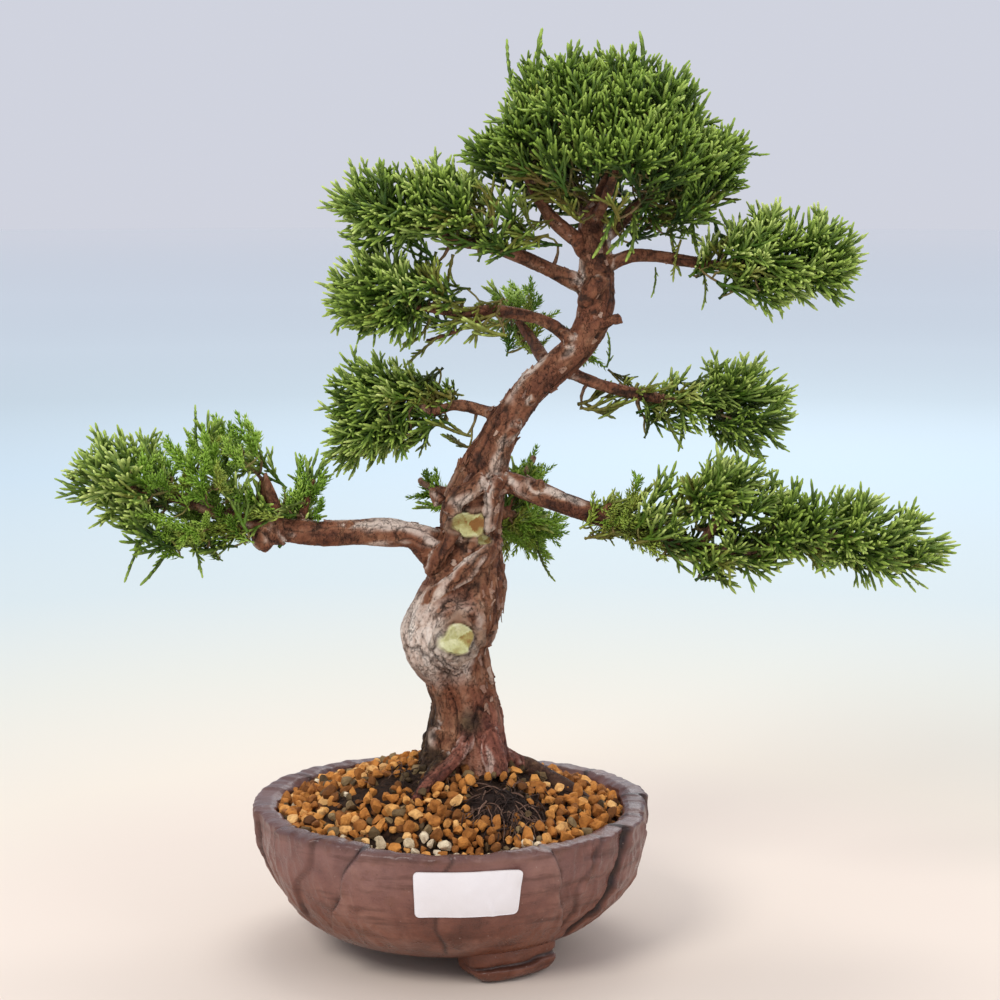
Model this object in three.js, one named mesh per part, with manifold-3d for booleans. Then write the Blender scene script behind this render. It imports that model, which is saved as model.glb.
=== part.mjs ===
// A juniper bonsai in a hand-pinched stoneware bowl: bowl on three folded feet, drainage mesh and
// its wire clip, soil, root ball, surface roots, trunk, branches and the foliage pads they carry.
// Millimetres, +Z up, +X to the viewer's right, +Y away from the viewer.
import * as THREE from 'three';
import { mergeVertices } from 'three/addons/utils/BufferGeometryUtils.js';
import Module from 'manifold-3d';

const wasm = await Module();
wasm.setup();

// ---- Driving dimensions ----
const CLEARANCE = 0.3;          // between pieces that touch

const BOWL_WIDTH = 149;         // across the rim, side to side
const BOWL_DEPTH = 139;         // across the rim, front to back
const RIM_HEIGHT = 57;          // from the resting surface to the middle of the rim's wave
const RIM_WAVE = 1.2;           // the hand-pinched rim rises and falls by this much
const WALL = 7;
const FLOOR = 9;
const UNDERSIDE_HEIGHT = 8;     // from the resting surface to the bowl's flat underside
const UNDERSIDE_RADIUS = 37;
const DRAIN_DIAMETER = 16;

const FOOT_LENGTH = 38;         // along the bowl's edge
const FOOT_DEPTH = 24;          // towards the bowl's middle
const FOOT_HEIGHT = 13;
const FOOT_CORNER = 6;
const FOOT_OVERHANG = 14;       // how far a foot stands out past the flat underside
const FOOT_ANGLES = { front_right: -57, back_right: 56, back_left: 142 };

const MESH_SIDE = 32;
const MESH_THICKNESS = 1.2;
const MESH_HOLES = 4;           // in each direction
const MESH_BAR = 2.2;
const CLIP_WIRE = 1.6;
const CLIP_LEG = 9;             // bent outwards under the bowl

const SOIL_DROP = 5.5;          // from the rim down to the soil's edge
const SOIL_RISE = 18;           // from the soil's edge up to the trunk
const ROOT_BALL_MARGIN = 24;    // between the root ball and the bowl's wall
const ROOT_BALL_BED = 6;        // soil under the root ball
const ROOT_BALL_COVER = 9;      // from the collar down to the root ball's top
const ROOT_PATCH_RISE = 2.5;    // where bare roots show, they stand above the soil by this much
const ROOT_PATCH = [13, 15, 9]; // half width, half depth and half height of that patch

const TREE_HEIGHT = 268;        // from the soil at the trunk to the highest shoots
const TREE_SPREAD = 327;        // from the leftmost shoots to the rightmost

const LABEL_WIDTH = 38;
const LABEL_HEIGHT = 17.5;
const LABEL_THICKNESS = 0.4;
const LABEL_ANGLE = -84;        // degrees round the bowl from +X
const LABEL_TOP_GAP = 7.5;      // from the rim down to the label's top edge

const BOWL_SIDES = 32;
const LIMB_SIDES = 6;
const TRUNK_SIDES = 12;
const RINGS_PER_POINT = 1.5;    // along a stem
const LUMP_SIDES = 9;
const LUMP_RINGS = 6;
const SOIL_RINGS = 6;

// ---- Derived places ----
const BOWL_RADIUS = BOWL_WIDTH / 2;
const BOWL_OVAL = BOWL_DEPTH / BOWL_WIDTH;
const ROLL_HEIGHT = RIM_HEIGHT - WALL / 2;
const FLOOR_HEIGHT = UNDERSIDE_HEIGHT + FLOOR;
const INNER_RADIUS = BOWL_RADIUS - WALL;
const INNER_FLOOR_RADIUS = UNDERSIDE_RADIUS - WALL / 2;
const SOIL_EDGE = RIM_HEIGHT - SOIL_DROP;
const COLLAR = SOIL_EDGE + SOIL_RISE;

// ---- The tree's growth ----
// Stems are [x, y, z, radius] points from base to tip, with z counted from the collar, where the
// trunk leaves the soil, and x and y from the bowl's middle. A stem's later lists are its forks.
const TRUNK = [
  [6, 6, -20, 15], [6, 6, -5, 17], [6, 5, 6, 15.6], [5.5, 4, 22, 12.8], [2.5, 3, 35, 13.6],
  [-1.8, 1, 46.5, 17.6], [1.8, 1, 55.5, 18.2], [5.5, 3, 64, 15.6], [7.5, 4, 72, 13], [8, 5, 80, 11.4],
  [8, 6, 88, 11.4], [9.2, 6, 96, 11], [11.8, 6, 105, 9.8], [14.3, 5, 113, 8.2],
  [17.8, 4, 120.5, 6.9], [21.6, 3, 128, 6.1], [28.6, 2, 138.5, 5.6], [37, 2, 146, 5.3],
  [46.5, 3, 153.5, 5.2], [52, 4, 162, 5.3], [53.5, 5, 171, 5.2], [53.5, 6, 180, 4.7],
  [53, 6, 190, 4.5], [52, 7, 198, 3.8], [57, 8, 211, 3.1], [64, 9, 226, 2.2], [67, 9, 240, 1.3],
];

const BRANCHES = {
  left_low: [
    [[4, 4, 80, 5.6], [-6, 0, 82, 4.9], [-14, -3, 86, 4.6], [-28, -7, 87.5, 4.4],
      [-47, -10, 87.5, 4.3], [-63, -13, 90, 4.3], [-74, -15, 93, 3.4], [-86, -17, 98, 2.6],
      [-100, -18, 103, 2], [-114, -18, 106, 1.5]],
    [[-66, -13, 88, 3], [-68, -13, 98, 2.1], [-67, -13, 108, 1.5]],
    [[-54, -11, 89, 2.4], [-52, -8, 98, 1.6], [-49, -5, 107, 1.1]],
    [[-76, -15, 93, 2.4], [-92, -19, 88, 1.7], [-104, -20, 84, 1.2]],
  ],
  right_low: [
    [[10, 6, 106, 5.2], [23, 2, 104.5, 4.4], [45, -4, 97, 3.9], [68, -9, 90, 3.5],
      [82, -12, 85, 3.1], [102, -14, 81, 2.8], [127, -14, 84, 2.2], [148, -13, 87, 1.6]],
    [[90, -13, 82, 2.2], [98, -13, 94, 1.7], [104, -13, 104, 1.1]],
  ],
  right_mid: [
    [[38, 2, 148, 3], [45, 4, 144.5, 2.4], [61, 8, 138.5, 2.2], [83, 14, 133.5, 1.9],
      [99, 18, 131.5, 1.6], [112, 20, 134, 1.2]],
  ],
  left_mid: [
    [[20, 4, 129, 2.8], [12, 6, 131, 2.4], [2.5, 8, 132.5, 2.1], [-6.5, 10, 130, 2],
      [-14, 12, 135, 1.7], [-25, 13, 134, 1.3]],
  ],
  left_upper_mid: [
    [[46, 3, 155, 3], [41, 2, 160, 2.5], [31.5, -1, 165, 2.2], [15, -5, 168, 2],
      [5, -7, 167, 1.7], [-8, -9, 169, 1.4], [-22, -10, 172, 1.1]],
    [[16, -5, 167, 1.4], [4, -6, 161, 1.1], [-8, -7, 157, 0.9]],
  ],
  left_upper: [
    [[53, 5, 176, 3.8], [46, 4, 178, 3.2], [34, 0, 183.5, 2.9], [23, -4, 188.5, 2.6],
      [12, -7, 191.5, 2.2], [4, -8, 192.5, 1.9], [-10, -10, 198, 1.5], [-24, -11, 202, 1.1]],
  ],
  right_upper: [
    [[54, 6, 181, 3.2], [62, 3, 185.5, 2.6], [71, 1, 187.5, 2.4], [89, -3, 185, 2.1],
      [110, -6, 182.5, 1.7], [126, -7, 183, 1.3], [138, -7, 185, 1]],
  ],
  crown_left: [
    [[52, 6, 189, 3], [45, 3, 194, 2.8], [38, 0, 200, 2.5], [33, -3, 207, 2.1],
      [28, -6, 217, 1.7], [23, -8, 229, 1.2]],
  ],
  crown_right: [
    [[53, 7, 192, 2.8], [60, 9, 196, 2.6], [69, 12, 204, 2.2], [83, 14, 211, 1.8],
      [94, 15, 218, 1.3]],
  ],
  crown_front: [
    [[53, 6, 200, 2.4], [56, -4, 206, 2.1], [58, -15, 213, 1.7], [60, -27, 221, 1.2]],
  ],
  crown_back: [
    [[52, 8, 196, 2.6], [50, 17, 201, 2.2], [47, 28, 209, 1.8], [44, 38, 217, 1.2]],
  ],
  back_low: [
    [[10, 10, 93, 3.6], [14, 22, 92, 2.9], [22, 34, 88, 2.3], [30, 45, 84, 1.7],
      [36, 53, 81, 1.2]],
    [[20, 31, 89, 2.1], [27, 36, 100, 1.6], [32, 38, 110, 1.1]],
  ],
  back_left: [
    [[7, 10, 97, 2.8], [2, 19, 98, 2.2], [-6, 28, 99, 1.7], [-12, 36, 101, 1.2]],
  ],
  back_mid: [
    [[36, 4, 147, 2.8], [33, 14, 152, 2.4], [28, 28, 159, 1.9], [24, 42, 164, 1.4],
      [21, 56, 168, 1]],
  ],
  back_upper: [
    [[49, 5, 158, 2.4], [50, 18, 155, 2], [52, 30, 151.5, 1.5], [54, 38, 150, 1.1]],
  ],
};

// Foliage pads are lumps, [x, y, z, half width, half depth, half height], placed as the stems are.
const FOLIAGE = {
  left_low: [
    [-117, -18, 105, 26, 28, 16], [-92, -16, 112, 23, 28, 18], [-107, -19, 88, 22, 24, 15],
    [-79, -14, 97, 13, 18, 13], [-86, -15, 124, 12, 15, 10],
  ],
  left_low_shoot: [[-50, -4, 105, 12, 12, 10]],
  right_low: [
    [80, -12, 96, 17, 20, 17], [102, -14, 101, 20, 28, 16], [106, -14, 80, 19, 23, 12],
    [129, -14, 90, 21, 28, 16], [152, -13, 85, 20, 24, 19], [169, -12, 79, 15, 17, 15],
  ],
  right_mid: [
    [72, 11, 141, 13, 9, 8], [91, 14, 139, 12, 11, 10], [110, 18, 144, 15, 17, 12],
    [116, 19, 130, 14, 16, 14],
  ],
  left_mid: [[-28, 14, 139, 18, 18, 13], [-30, 13, 124, 16, 16, 13], [-13, 12, 136, 10, 10, 10]],
  left_upper_mid: [
    [-30, -10, 176, 19, 21, 16], [-12, -9, 179, 15, 17, 12], [-1, -7, 168, 9, 11, 9],
  ],
  left_upper: [
    [-28, -11, 211, 17, 18, 15], [-8, -10, 213, 19, 21, 17], [10, -8, 208, 16, 18, 16],
  ],
  right_upper: [
    [122, -7, 188, 17, 19, 14], [140, -7, 184, 16, 17, 16], [126, -7, 177, 16, 16, 12],
  ],
  crown: [
    [42, 3, 236, 29, 38, 28], [68, 6, 237, 31, 42, 29], [90, 5, 219, 24, 32, 23],
    [58, -20, 218, 32, 28, 20], [58, 32, 219, 33, 28, 21], [31, 0, 222, 24, 27, 19],
    [82, -8, 202, 22, 24, 13],
  ],
  back_low: [[33, 48, 79, 17, 18, 14]],
  back_low_shoot: [[32, 39, 107, 11, 11, 10]],
  back_left: [[-10, 33, 98, 11, 11, 10]],
  back_mid: [[25, 44, 163, 15, 19, 17], [20, 60, 169, 14, 15, 12]],
  back_upper: [[51, 34, 150, 11, 11, 8]],
};

// Surface roots run out from the trunk over the soil: [x, y, radius, height above the soil].
const SURFACE_ROOTS = {
  left: [[2, 0, 4, 4], [-3, -12, 3.4, 3], [-8, -21, 2.6, 0.5], [-12, -28, 1.9, -1.5]],
  right: [[16, 6, 5, 3], [30, 6, 4, 1.5], [44, 2, 3, 0], [54, -4, 2, -1]],
  back: [[6, 14, 4.5, 3], [1, 28, 3.6, 1], [-8, 40, 2.4, -1]],
};

const drawnLumps = Object.values(FOLIAGE).flat();
const drawnHeight = Math.max(...drawnLumps.map(([, , z, , , rz]) => z + rz));
const drawnRight = Math.max(...drawnLumps.map(([x, , , rx]) => x + rx));
const drawnLeft = Math.min(...drawnLumps.map(([x, , , rx]) => x - rx));
const STRETCH_UP = TREE_HEIGHT / drawnHeight;
const STRETCH_OUT = TREE_SPREAD / (drawnRight - drawnLeft);

// ---- Materials ----
function material(color, roughness) {
  return () => new THREE.MeshStandardMaterial({ color, roughness, metalness: 0 });
}
const clay = material('#4b3c3d', 0.55);
const plastic = material('#1d1f1e', 0.6);
const wire = () => new THREE.MeshStandardMaterial({ color: '#8a5a3c', roughness: 0.4, metalness: 1 });
const granules = material('#b97a45', 0.95);
const roots = material('#33241c', 0.95);
const bark = material('#80604f', 0.85);
const leaves = material('#3f7a2c', 0.7);
const paper = material('#f1f0ec', 0.6);

// ---- Solids ----
// Turns a closed three.js geometry into a manifold solid: shared corners merged, flat faces left out.
function solid(geometry) {
  geometry.deleteAttribute('normal');
  geometry.deleteAttribute('uv');
  const merged = mergeVertices(geometry, 1e-4);
  const corners = merged.index.array;
  const triVerts = [];
  for (let i = 0; i < corners.length; i += 3) {
    const [a, b, c] = corners.slice(i, i + 3);
    if (a !== b && b !== c && c !== a) triVerts.push(a, b, c);
  }
  return new wasm.Manifold(new wasm.Mesh({
    numProp: 3,
    vertProperties: merged.attributes.position.array,
    triVerts: new Uint32Array(triVerts),
  }));
}

function join(solids) {
  return solids.reduce((whole, next) => whole.add(next));
}

function carve(whole, cutters) {
  return cutters.reduce((rest, cutter) => rest.subtract(cutter), whole);
}

function geometryOf(manifold) {
  const { vertProperties, triVerts } = manifold.getMesh();
  const geometry = new THREE.BufferGeometry();
  geometry.setAttribute('position', new THREE.BufferAttribute(vertProperties, 3));
  geometry.setIndex(new THREE.BufferAttribute(triVerts, 1));
  geometry.computeVertexNormals();
  return geometry;
}

// Moves every vertex of a geometry to where the given function sends it.
function reshape(geometry, move) {
  const position = geometry.attributes.position;
  const point = new THREE.Vector3();
  for (let i = 0; i < position.count; i += 1) {
    point.fromBufferAttribute(position, i);
    move(point);
    position.setXYZ(i, point.x, point.y, point.z);
  }
  return geometry;
}

// A closed cylinder bent along a stem's points, its radius read between them. `grow` makes the
// larger stem that a neighbour is carved with.
function limb(points, sides, grow = 0) {
  const steps = Math.round(RINGS_PER_POINT * points.length);
  const curve = new THREE.CatmullRomCurve3(
    points.map(([x, y, z]) => new THREE.Vector3(x, y, z)), false, 'centripetal');
  const { tangents, normals, binormals } = curve.computeFrenetFrames(steps);
  const radiusAt = (along) => {
    const place = curve.getUtoTmapping(along) * (points.length - 1);
    const before = Math.min(Math.floor(place), points.length - 2);
    return THREE.MathUtils.lerp(points[before][3], points[before + 1][3], place - before) + grow;
  };
  return solid(reshape(new THREE.CylinderGeometry(1, 1, 1, sides, steps), (point) => {
    const ring = Math.round((point.y + 0.5) * steps);
    const { x, z } = point;
    point.copy(curve.getPointAt(ring / steps));
    const radius = radiusAt(ring / steps);
    point.addScaledVector(normals[ring], -x * radius);
    point.addScaledVector(binormals[ring], z * radius);
    if (ring === 0) point.addScaledVector(tangents[ring], -grow);
    if (ring === steps) point.addScaledVector(tangents[ring], grow);
  }));
}

function lump([x, y, z, halfWidth, halfDepth, halfHeight], grow = 0) {
  const ball = new THREE.SphereGeometry(1, LUMP_SIDES, LUMP_RINGS).rotateX(Math.PI / 2);
  ball.scale(halfWidth + grow, halfDepth + grow, halfHeight + grow);
  return solid(ball.translate(x, y, z));
}

// ---- Places in the tree ----
function placedStem(points) {
  return points.map(([x, y, z, r]) => [x * STRETCH_OUT, y * STRETCH_OUT, COLLAR + z * STRETCH_UP, r]);
}

function placedLump([x, y, z, rx, ry, rz]) {
  return [x * STRETCH_OUT, y * STRETCH_OUT, COLLAR + z * STRETCH_UP,
    rx * STRETCH_OUT, ry * STRETCH_OUT, rz * STRETCH_UP];
}

function trunkSolid(grow = 0) {
  return limb(placedStem(TRUNK), TRUNK_SIDES, grow);
}

function branchSolid(name, grow = 0) {
  return join(BRANCHES[name].map((stem) => limb(placedStem(stem), LIMB_SIDES, grow)));
}

function foliageSolid(name, grow = 0) {
  return join(FOLIAGE[name].map((part) => lump(placedLump(part), grow)));
}

// ---- The bowl ----
// A quarter of an ellipse from [fromRadius, low] out and up to [toRadius, high].
function quarter(fromRadius, low, toRadius, high, steps) {
  return Array.from({ length: steps + 1 }, (_, i) => {
    const angle = (i / steps) * (Math.PI / 2);
    return new THREE.Vector2(
      fromRadius + (toRadius - fromRadius) * Math.sin(angle), high - (high - low) * Math.cos(angle));
  });
}

function rimWave(x, y) {
  const angle = Math.atan2(y, x);
  return RIM_WAVE * (0.6 * Math.sin(3 * angle + 0.7) + 0.4 * Math.sin(5 * angle + 2.1));
}

// Turns a profile round the bowl's axis, squeezes it to the bowl's oval and lifts its upper part
// with the rim's wave.
function turned(profile) {
  const lathe = new THREE.LatheGeometry(profile, BOWL_SIDES).rotateX(Math.PI / 2);
  return solid(reshape(lathe, (point) => {
    point.y *= BOWL_OVAL;
    const rise = THREE.MathUtils.clamp((point.z - SOIL_EDGE) / (RIM_HEIGHT - SOIL_EDGE), 0, 1);
    point.z += Math.hypot(point.x, point.y) > INNER_RADIUS * BOWL_OVAL - WALL
      ? rise * rimWave(point.x, point.y) : 0;
  }));
}

function bowlOutside(grow = 0) {
  return quarter(UNDERSIDE_RADIUS + grow, UNDERSIDE_HEIGHT - grow, BOWL_RADIUS + grow, ROLL_HEIGHT, 8);
}

// The bowl as if it were full, for what lies against its outside.
function fullBowl(grow) {
  const outside = bowlOutside(grow);
  return turned([
    new THREE.Vector2(0, outside[0].y), ...outside, new THREE.Vector2(0, ROLL_HEIGHT),
  ]);
}

function drainHole() {
  const bore = new THREE.CylinderGeometry(DRAIN_DIAMETER / 2, DRAIN_DIAMETER / 2, 3 * FLOOR, 20);
  return solid(bore.rotateX(Math.PI / 2).translate(0, 0, UNDERSIDE_HEIGHT + FLOOR / 2));
}

function bowl() {
  const roll = Array.from({ length: 5 }, (_, i) => {
    const angle = ((i + 1) / 6) * Math.PI;
    return new THREE.Vector2(
      BOWL_RADIUS - WALL / 2 + (WALL / 2) * Math.cos(angle), ROLL_HEIGHT + (WALL / 2) * Math.sin(angle));
  });
  const inside = quarter(INNER_FLOOR_RADIUS, FLOOR_HEIGHT, INNER_RADIUS, ROLL_HEIGHT, 6).reverse();
  const profile = [
    new THREE.Vector2(0, UNDERSIDE_HEIGHT), ...bowlOutside(), ...roll, ...inside,
    new THREE.Vector2(0, FLOOR_HEIGHT),
  ];
  return carve(turned(profile), [drainHole()]);
}

function roundedRectangle(width, height, corner) {
  const [x, y] = [width / 2, height / 2];
  const shape = new THREE.Shape();
  shape.moveTo(corner - x, -y);
  shape.lineTo(x - corner, -y);
  shape.absarc(x - corner, corner - y, corner, -Math.PI / 2, 0);
  shape.lineTo(x, y - corner);
  shape.absarc(x - corner, y - corner, corner, 0, Math.PI / 2);
  shape.lineTo(corner - x, y);
  shape.absarc(corner - x, y - corner, corner, Math.PI / 2, Math.PI);
  shape.lineTo(-x, corner - y);
  shape.absarc(corner - x, corner - y, corner, Math.PI, 1.5 * Math.PI);
  return shape;
}

// A slab set under the bowl's edge and cut to the bowl's curve.
function foot(angle) {
  const slab = new THREE.ExtrudeGeometry(roundedRectangle(FOOT_DEPTH, FOOT_LENGTH, FOOT_CORNER),
    { depth: FOOT_HEIGHT, bevelEnabled: false, curveSegments: 4 });
  const middle = UNDERSIDE_RADIUS + FOOT_OVERHANG - FOOT_DEPTH / 2;
  slab.translate(middle, 0, 0).rotateZ(THREE.MathUtils.degToRad(angle));
  return carve(solid(slab), [fullBowl(CLEARANCE)]);
}

// ---- Drainage ----
const MESH_HEIGHT = FLOOR_HEIGHT + CLEARANCE;
const CLIP_REACH = DRAIN_DIAMETER / 2 - 2 * CLEARANCE - CLIP_WIRE / 2;

function meshPlate(grow = 0) {
  const side = MESH_SIDE + 2 * grow;
  const plate = new THREE.BoxGeometry(side, side, MESH_THICKNESS + 2 * grow);
  return solid(plate.translate(0, 0, MESH_HEIGHT + MESH_THICKNESS / 2));
}

function drainMesh() {
  const cell = (MESH_SIDE - MESH_BAR) / MESH_HOLES;
  const holes = [];
  for (let i = 0; i < MESH_HOLES; i += 1) {
    for (let j = 0; j < MESH_HOLES; j += 1) {
      const hole = new THREE.BoxGeometry(cell - MESH_BAR, cell - MESH_BAR, 4 * MESH_THICKNESS);
      hole.translate((i - (MESH_HOLES - 1) / 2) * cell, (j - (MESH_HOLES - 1) / 2) * cell, MESH_HEIGHT);
      holes.push(solid(hole));
    }
  }
  return carve(meshPlate(), [...holes, clipSolid(CLEARANCE)]);
}

// One bent wire: over the mesh, down both sides of the drain hole and outwards under the bowl.
function clipSolid(grow = 0) {
  const over = MESH_HEIGHT + MESH_THICKNESS + CLEARANCE + CLIP_WIRE / 2;
  const under = UNDERSIDE_HEIGHT - CLEARANCE - CLIP_WIRE / 2;
  const bend = CLIP_WIRE / 2;
  const half = [
    [0, over], [CLIP_REACH - bend, over], [CLIP_REACH, over - bend], [CLIP_REACH, under + bend],
    [CLIP_REACH + bend, under], [CLIP_REACH + CLIP_LEG + grow, under],
  ];
  const mirrored = half.slice(1).reverse().map(([x, z]) => [-x, z]);
  const path = new THREE.CurvePath();
  const corners = [...mirrored, ...half].map(([x, z]) => new THREE.Vector3(x, 0, z));
  for (let i = 1; i < corners.length; i += 1) path.add(new THREE.LineCurve3(corners[i - 1], corners[i]));
  const section = new THREE.Shape().absarc(0, 0, CLIP_WIRE / 2 + grow, 0, 2 * Math.PI);
  return solid(new THREE.ExtrudeGeometry(section, { extrudePath: path, steps: 24, curveSegments: 3 }));
}

// ---- Soil and roots ----
function soilHeight(x, y) {
  const part = Math.min(Math.hypot(x, y / BOWL_OVAL) / INNER_RADIUS, 1);
  return SOIL_EDGE + SOIL_RISE * (1 - part * part) ** 1.5;
}

function rootBall(grow = 0) {
  const radius = INNER_RADIUS - ROOT_BALL_MARGIN;
  const [bottom, top] = [FLOOR_HEIGHT + ROOT_BALL_BED, COLLAR - ROOT_BALL_COVER];
  const ball = [0, 0, (bottom + top) / 2, radius, radius * BOWL_OVAL, (top - bottom) / 2];
  const [x, y] = [radius / 2, -radius * 0.75];
  const patch = [x, y, soilHeight(x, y) + ROOT_PATCH_RISE - ROOT_PATCH[2], ...ROOT_PATCH];
  return join([lump(ball, grow), lump(patch, grow)]);
}

function surfaceRoot(name, grow = 0) {
  const points = SURFACE_ROOTS[name].map(([x, y, r, above]) => [x, y, soilHeight(x, y) + above, r]);
  return limb(points, LIMB_SIDES, grow);
}

function soil() {
  const wall = quarter(INNER_FLOOR_RADIUS - CLEARANCE, FLOOR_HEIGHT + CLEARANCE,
    INNER_RADIUS - CLEARANCE, ROLL_HEIGHT, 6).filter(({ y }) => y < SOIL_EDGE - 1);
  const top = Array.from({ length: SOIL_RINGS + 1 }, (_, i) => {
    const radius = (INNER_RADIUS - 1) * (1 - i / SOIL_RINGS);
    return new THREE.Vector2(radius, soilHeight(radius, 0));
  });
  const body = turned([new THREE.Vector2(0, FLOOR_HEIGHT + CLEARANCE), ...wall, ...top]);
  const buried = Object.keys(SURFACE_ROOTS).map((name) => surfaceRoot(name, CLEARANCE));
  return carve(body, [
    trunkSolid(CLEARANCE), rootBall(CLEARANCE), ...buried, meshPlate(CLEARANCE), clipSolid(CLEARANCE),
  ]);
}

// ---- The label ----
function bowlOutsideRadius(height) {
  const down = (ROLL_HEIGHT - height) / (ROLL_HEIGHT - UNDERSIDE_HEIGHT);
  return UNDERSIDE_RADIUS + (BOWL_RADIUS - UNDERSIDE_RADIUS) * Math.sqrt(1 - Math.min(down, 1) ** 2);
}

// A blank paper label bent round the front of the bowl.
function label() {
  const sheet = new THREE.BoxGeometry(LABEL_WIDTH, LABEL_THICKNESS, LABEL_HEIGHT, 8, 1, 4);
  const middle = RIM_HEIGHT - LABEL_TOP_GAP - LABEL_HEIGHT / 2;
  return solid(reshape(sheet, (point) => {
    const angle = THREE.MathUtils.degToRad(LABEL_ANGLE) + point.x / BOWL_RADIUS;
    const height = middle + point.z;
    const radius = bowlOutsideRadius(height) + 2 * CLEARANCE + LABEL_THICKNESS / 2 - point.y;
    point.set(radius * Math.cos(angle), radius * Math.sin(angle) * BOWL_OVAL, height);
  }));
}

// ---- Assembly ----
const bonsai = new THREE.Group();

function place(name, whole, finish) {
  const mesh = new THREE.Mesh(geometryOf(whole), finish());
  mesh.name = name;
  bonsai.add(mesh);
}

place('pot_bowl', bowl(), clay);
for (const [name, angle] of Object.entries(FOOT_ANGLES)) place(`foot_${name}`, foot(angle), clay);
place('drain_mesh', drainMesh(), plastic);
place('mesh_clip', clipSolid(), wire);
place('paper_label', label(), paper);
place('soil', soil(), granules);

const thickTrunk = trunkSolid(CLEARANCE);
const rootCutters = Object.keys(SURFACE_ROOTS).map((name) => surfaceRoot(name, CLEARANCE));
place('root_ball', carve(rootBall(), [thickTrunk, ...rootCutters]), roots);
for (const name of Object.keys(SURFACE_ROOTS)) {
  place(`surface_root_${name}`, carve(surfaceRoot(name), [thickTrunk]), bark);
}
place('trunk', trunkSolid(), bark);

// Each branch is carved clear of the trunk, and of the branches placed before it.
const thickBranches = [];
for (const name of Object.keys(BRANCHES)) {
  place(`branch_${name}`, carve(branchSolid(name), [thickTrunk, ...thickBranches]), bark);
  thickBranches.push(branchSolid(name, CLEARANCE));
}

// Each pad is carved clear of the wood, and of the pads placed before it.
const thickPads = [];
for (const name of Object.keys(FOLIAGE)) {
  const cutters = [thickTrunk, ...thickBranches, ...thickPads];
  place(`foliage_${name}`, carve(foliageSolid(name), cutters), leaves);
  thickPads.push(foliageSolid(name, CLEARANCE));
}

// The origin is the middle of the whole model's box, on the surface that the feet stand on.
const box = new THREE.Box3().setFromObject(bonsai);
const middle = box.getCenter(new THREE.Vector3());
bonsai.position.set(-middle.x, -middle.y, -box.min.z);

export default bonsai;
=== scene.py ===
# Looks of a juniper bonsai in a hand-pinched stoneware bowl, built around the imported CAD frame.
# Shapes are worked out in millimetres from the bowl's axis, z up from the floor, then put in place.
import math
import bpy
import numpy as np
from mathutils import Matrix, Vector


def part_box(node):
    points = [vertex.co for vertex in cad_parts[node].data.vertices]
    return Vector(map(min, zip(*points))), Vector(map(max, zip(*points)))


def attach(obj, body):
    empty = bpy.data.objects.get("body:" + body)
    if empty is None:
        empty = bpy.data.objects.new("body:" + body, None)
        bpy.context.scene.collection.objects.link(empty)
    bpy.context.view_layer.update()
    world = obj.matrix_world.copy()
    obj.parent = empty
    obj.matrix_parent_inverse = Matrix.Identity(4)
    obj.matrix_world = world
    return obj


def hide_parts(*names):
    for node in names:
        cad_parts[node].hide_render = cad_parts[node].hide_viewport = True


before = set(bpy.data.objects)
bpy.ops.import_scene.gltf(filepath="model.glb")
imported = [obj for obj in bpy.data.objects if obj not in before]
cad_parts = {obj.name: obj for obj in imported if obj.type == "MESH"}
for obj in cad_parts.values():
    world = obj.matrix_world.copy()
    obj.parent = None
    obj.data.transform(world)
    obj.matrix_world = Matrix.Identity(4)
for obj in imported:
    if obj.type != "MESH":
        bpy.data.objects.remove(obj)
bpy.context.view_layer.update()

bowl_low, bowl_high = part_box("pot_bowl")
AXIS = np.array([(bowl_low.x + bowl_high.x) / 2, (bowl_low.y + bowl_high.y) / 2, 0.0])
MM = 0.001

# ---- The frame's sizes, in millimetres. Those that no box gives repeat the CAD's own ----
BOWL_RADIUS = (bowl_high.x - bowl_low.x) / 2 / MM
BOWL_OVAL = (bowl_high.y - bowl_low.y) / (bowl_high.x - bowl_low.x)
RIM_HEIGHT = 57.0
RIM_WAVE = 1.2
WALL = 7.0
UNDERSIDE_HEIGHT = bowl_low.z / MM
UNDERSIDE_RADIUS = 37.0
FLOOR_HEIGHT = UNDERSIDE_HEIGHT + 9.0
DRAIN_RADIUS = 8.0
ROLL_HEIGHT = RIM_HEIGHT - WALL / 2
INNER_RADIUS = BOWL_RADIUS - WALL
SOIL_EDGE = RIM_HEIGHT - 5.5
SOIL_RISE = 18.0
COLLAR = SOIL_EDGE + SOIL_RISE
STRETCH_UP = 268.0 / 266.0


# ---- Random fields ----
def lattice(i, j, k, seed):
    """A number from 0 to 1 for each whole-numbered cell."""
    h = (i.astype(np.uint32) * np.uint32(374761393)
         ^ j.astype(np.uint32) * np.uint32(668265263)
         ^ k.astype(np.uint32) * np.uint32(2246822519)
         ^ np.uint32((seed * 3266489917 + 97) & 0xFFFFFFFF))
    h = (h ^ (h >> np.uint32(15))) * np.uint32(2246822519)
    h = (h ^ (h >> np.uint32(13))) * np.uint32(3266489917)
    h = h ^ (h >> np.uint32(16))
    return h.astype(np.float64) / 4294967295.0


def noise(points, size, seed):
    """Smooth noise from -1 to 1 whose lumps are about `size` across."""
    q = np.asarray(points, float) / size
    base = np.floor(q)
    f = q - base
    u = f * f * (3 - 2 * f)
    i, j, k = (base[..., n].astype(np.int64) for n in range(3))
    total = np.zeros(q.shape[:-1])
    for di in (0, 1):
        wi = u[..., 0] if di else 1 - u[..., 0]
        for dj in (0, 1):
            wj = u[..., 1] if dj else 1 - u[..., 1]
            for dk in (0, 1):
                wk = u[..., 2] if dk else 1 - u[..., 2]
                total += wi * wj * wk * lattice(i + di, j + dj, k + dk, seed)
    return total * 2 - 1


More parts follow.
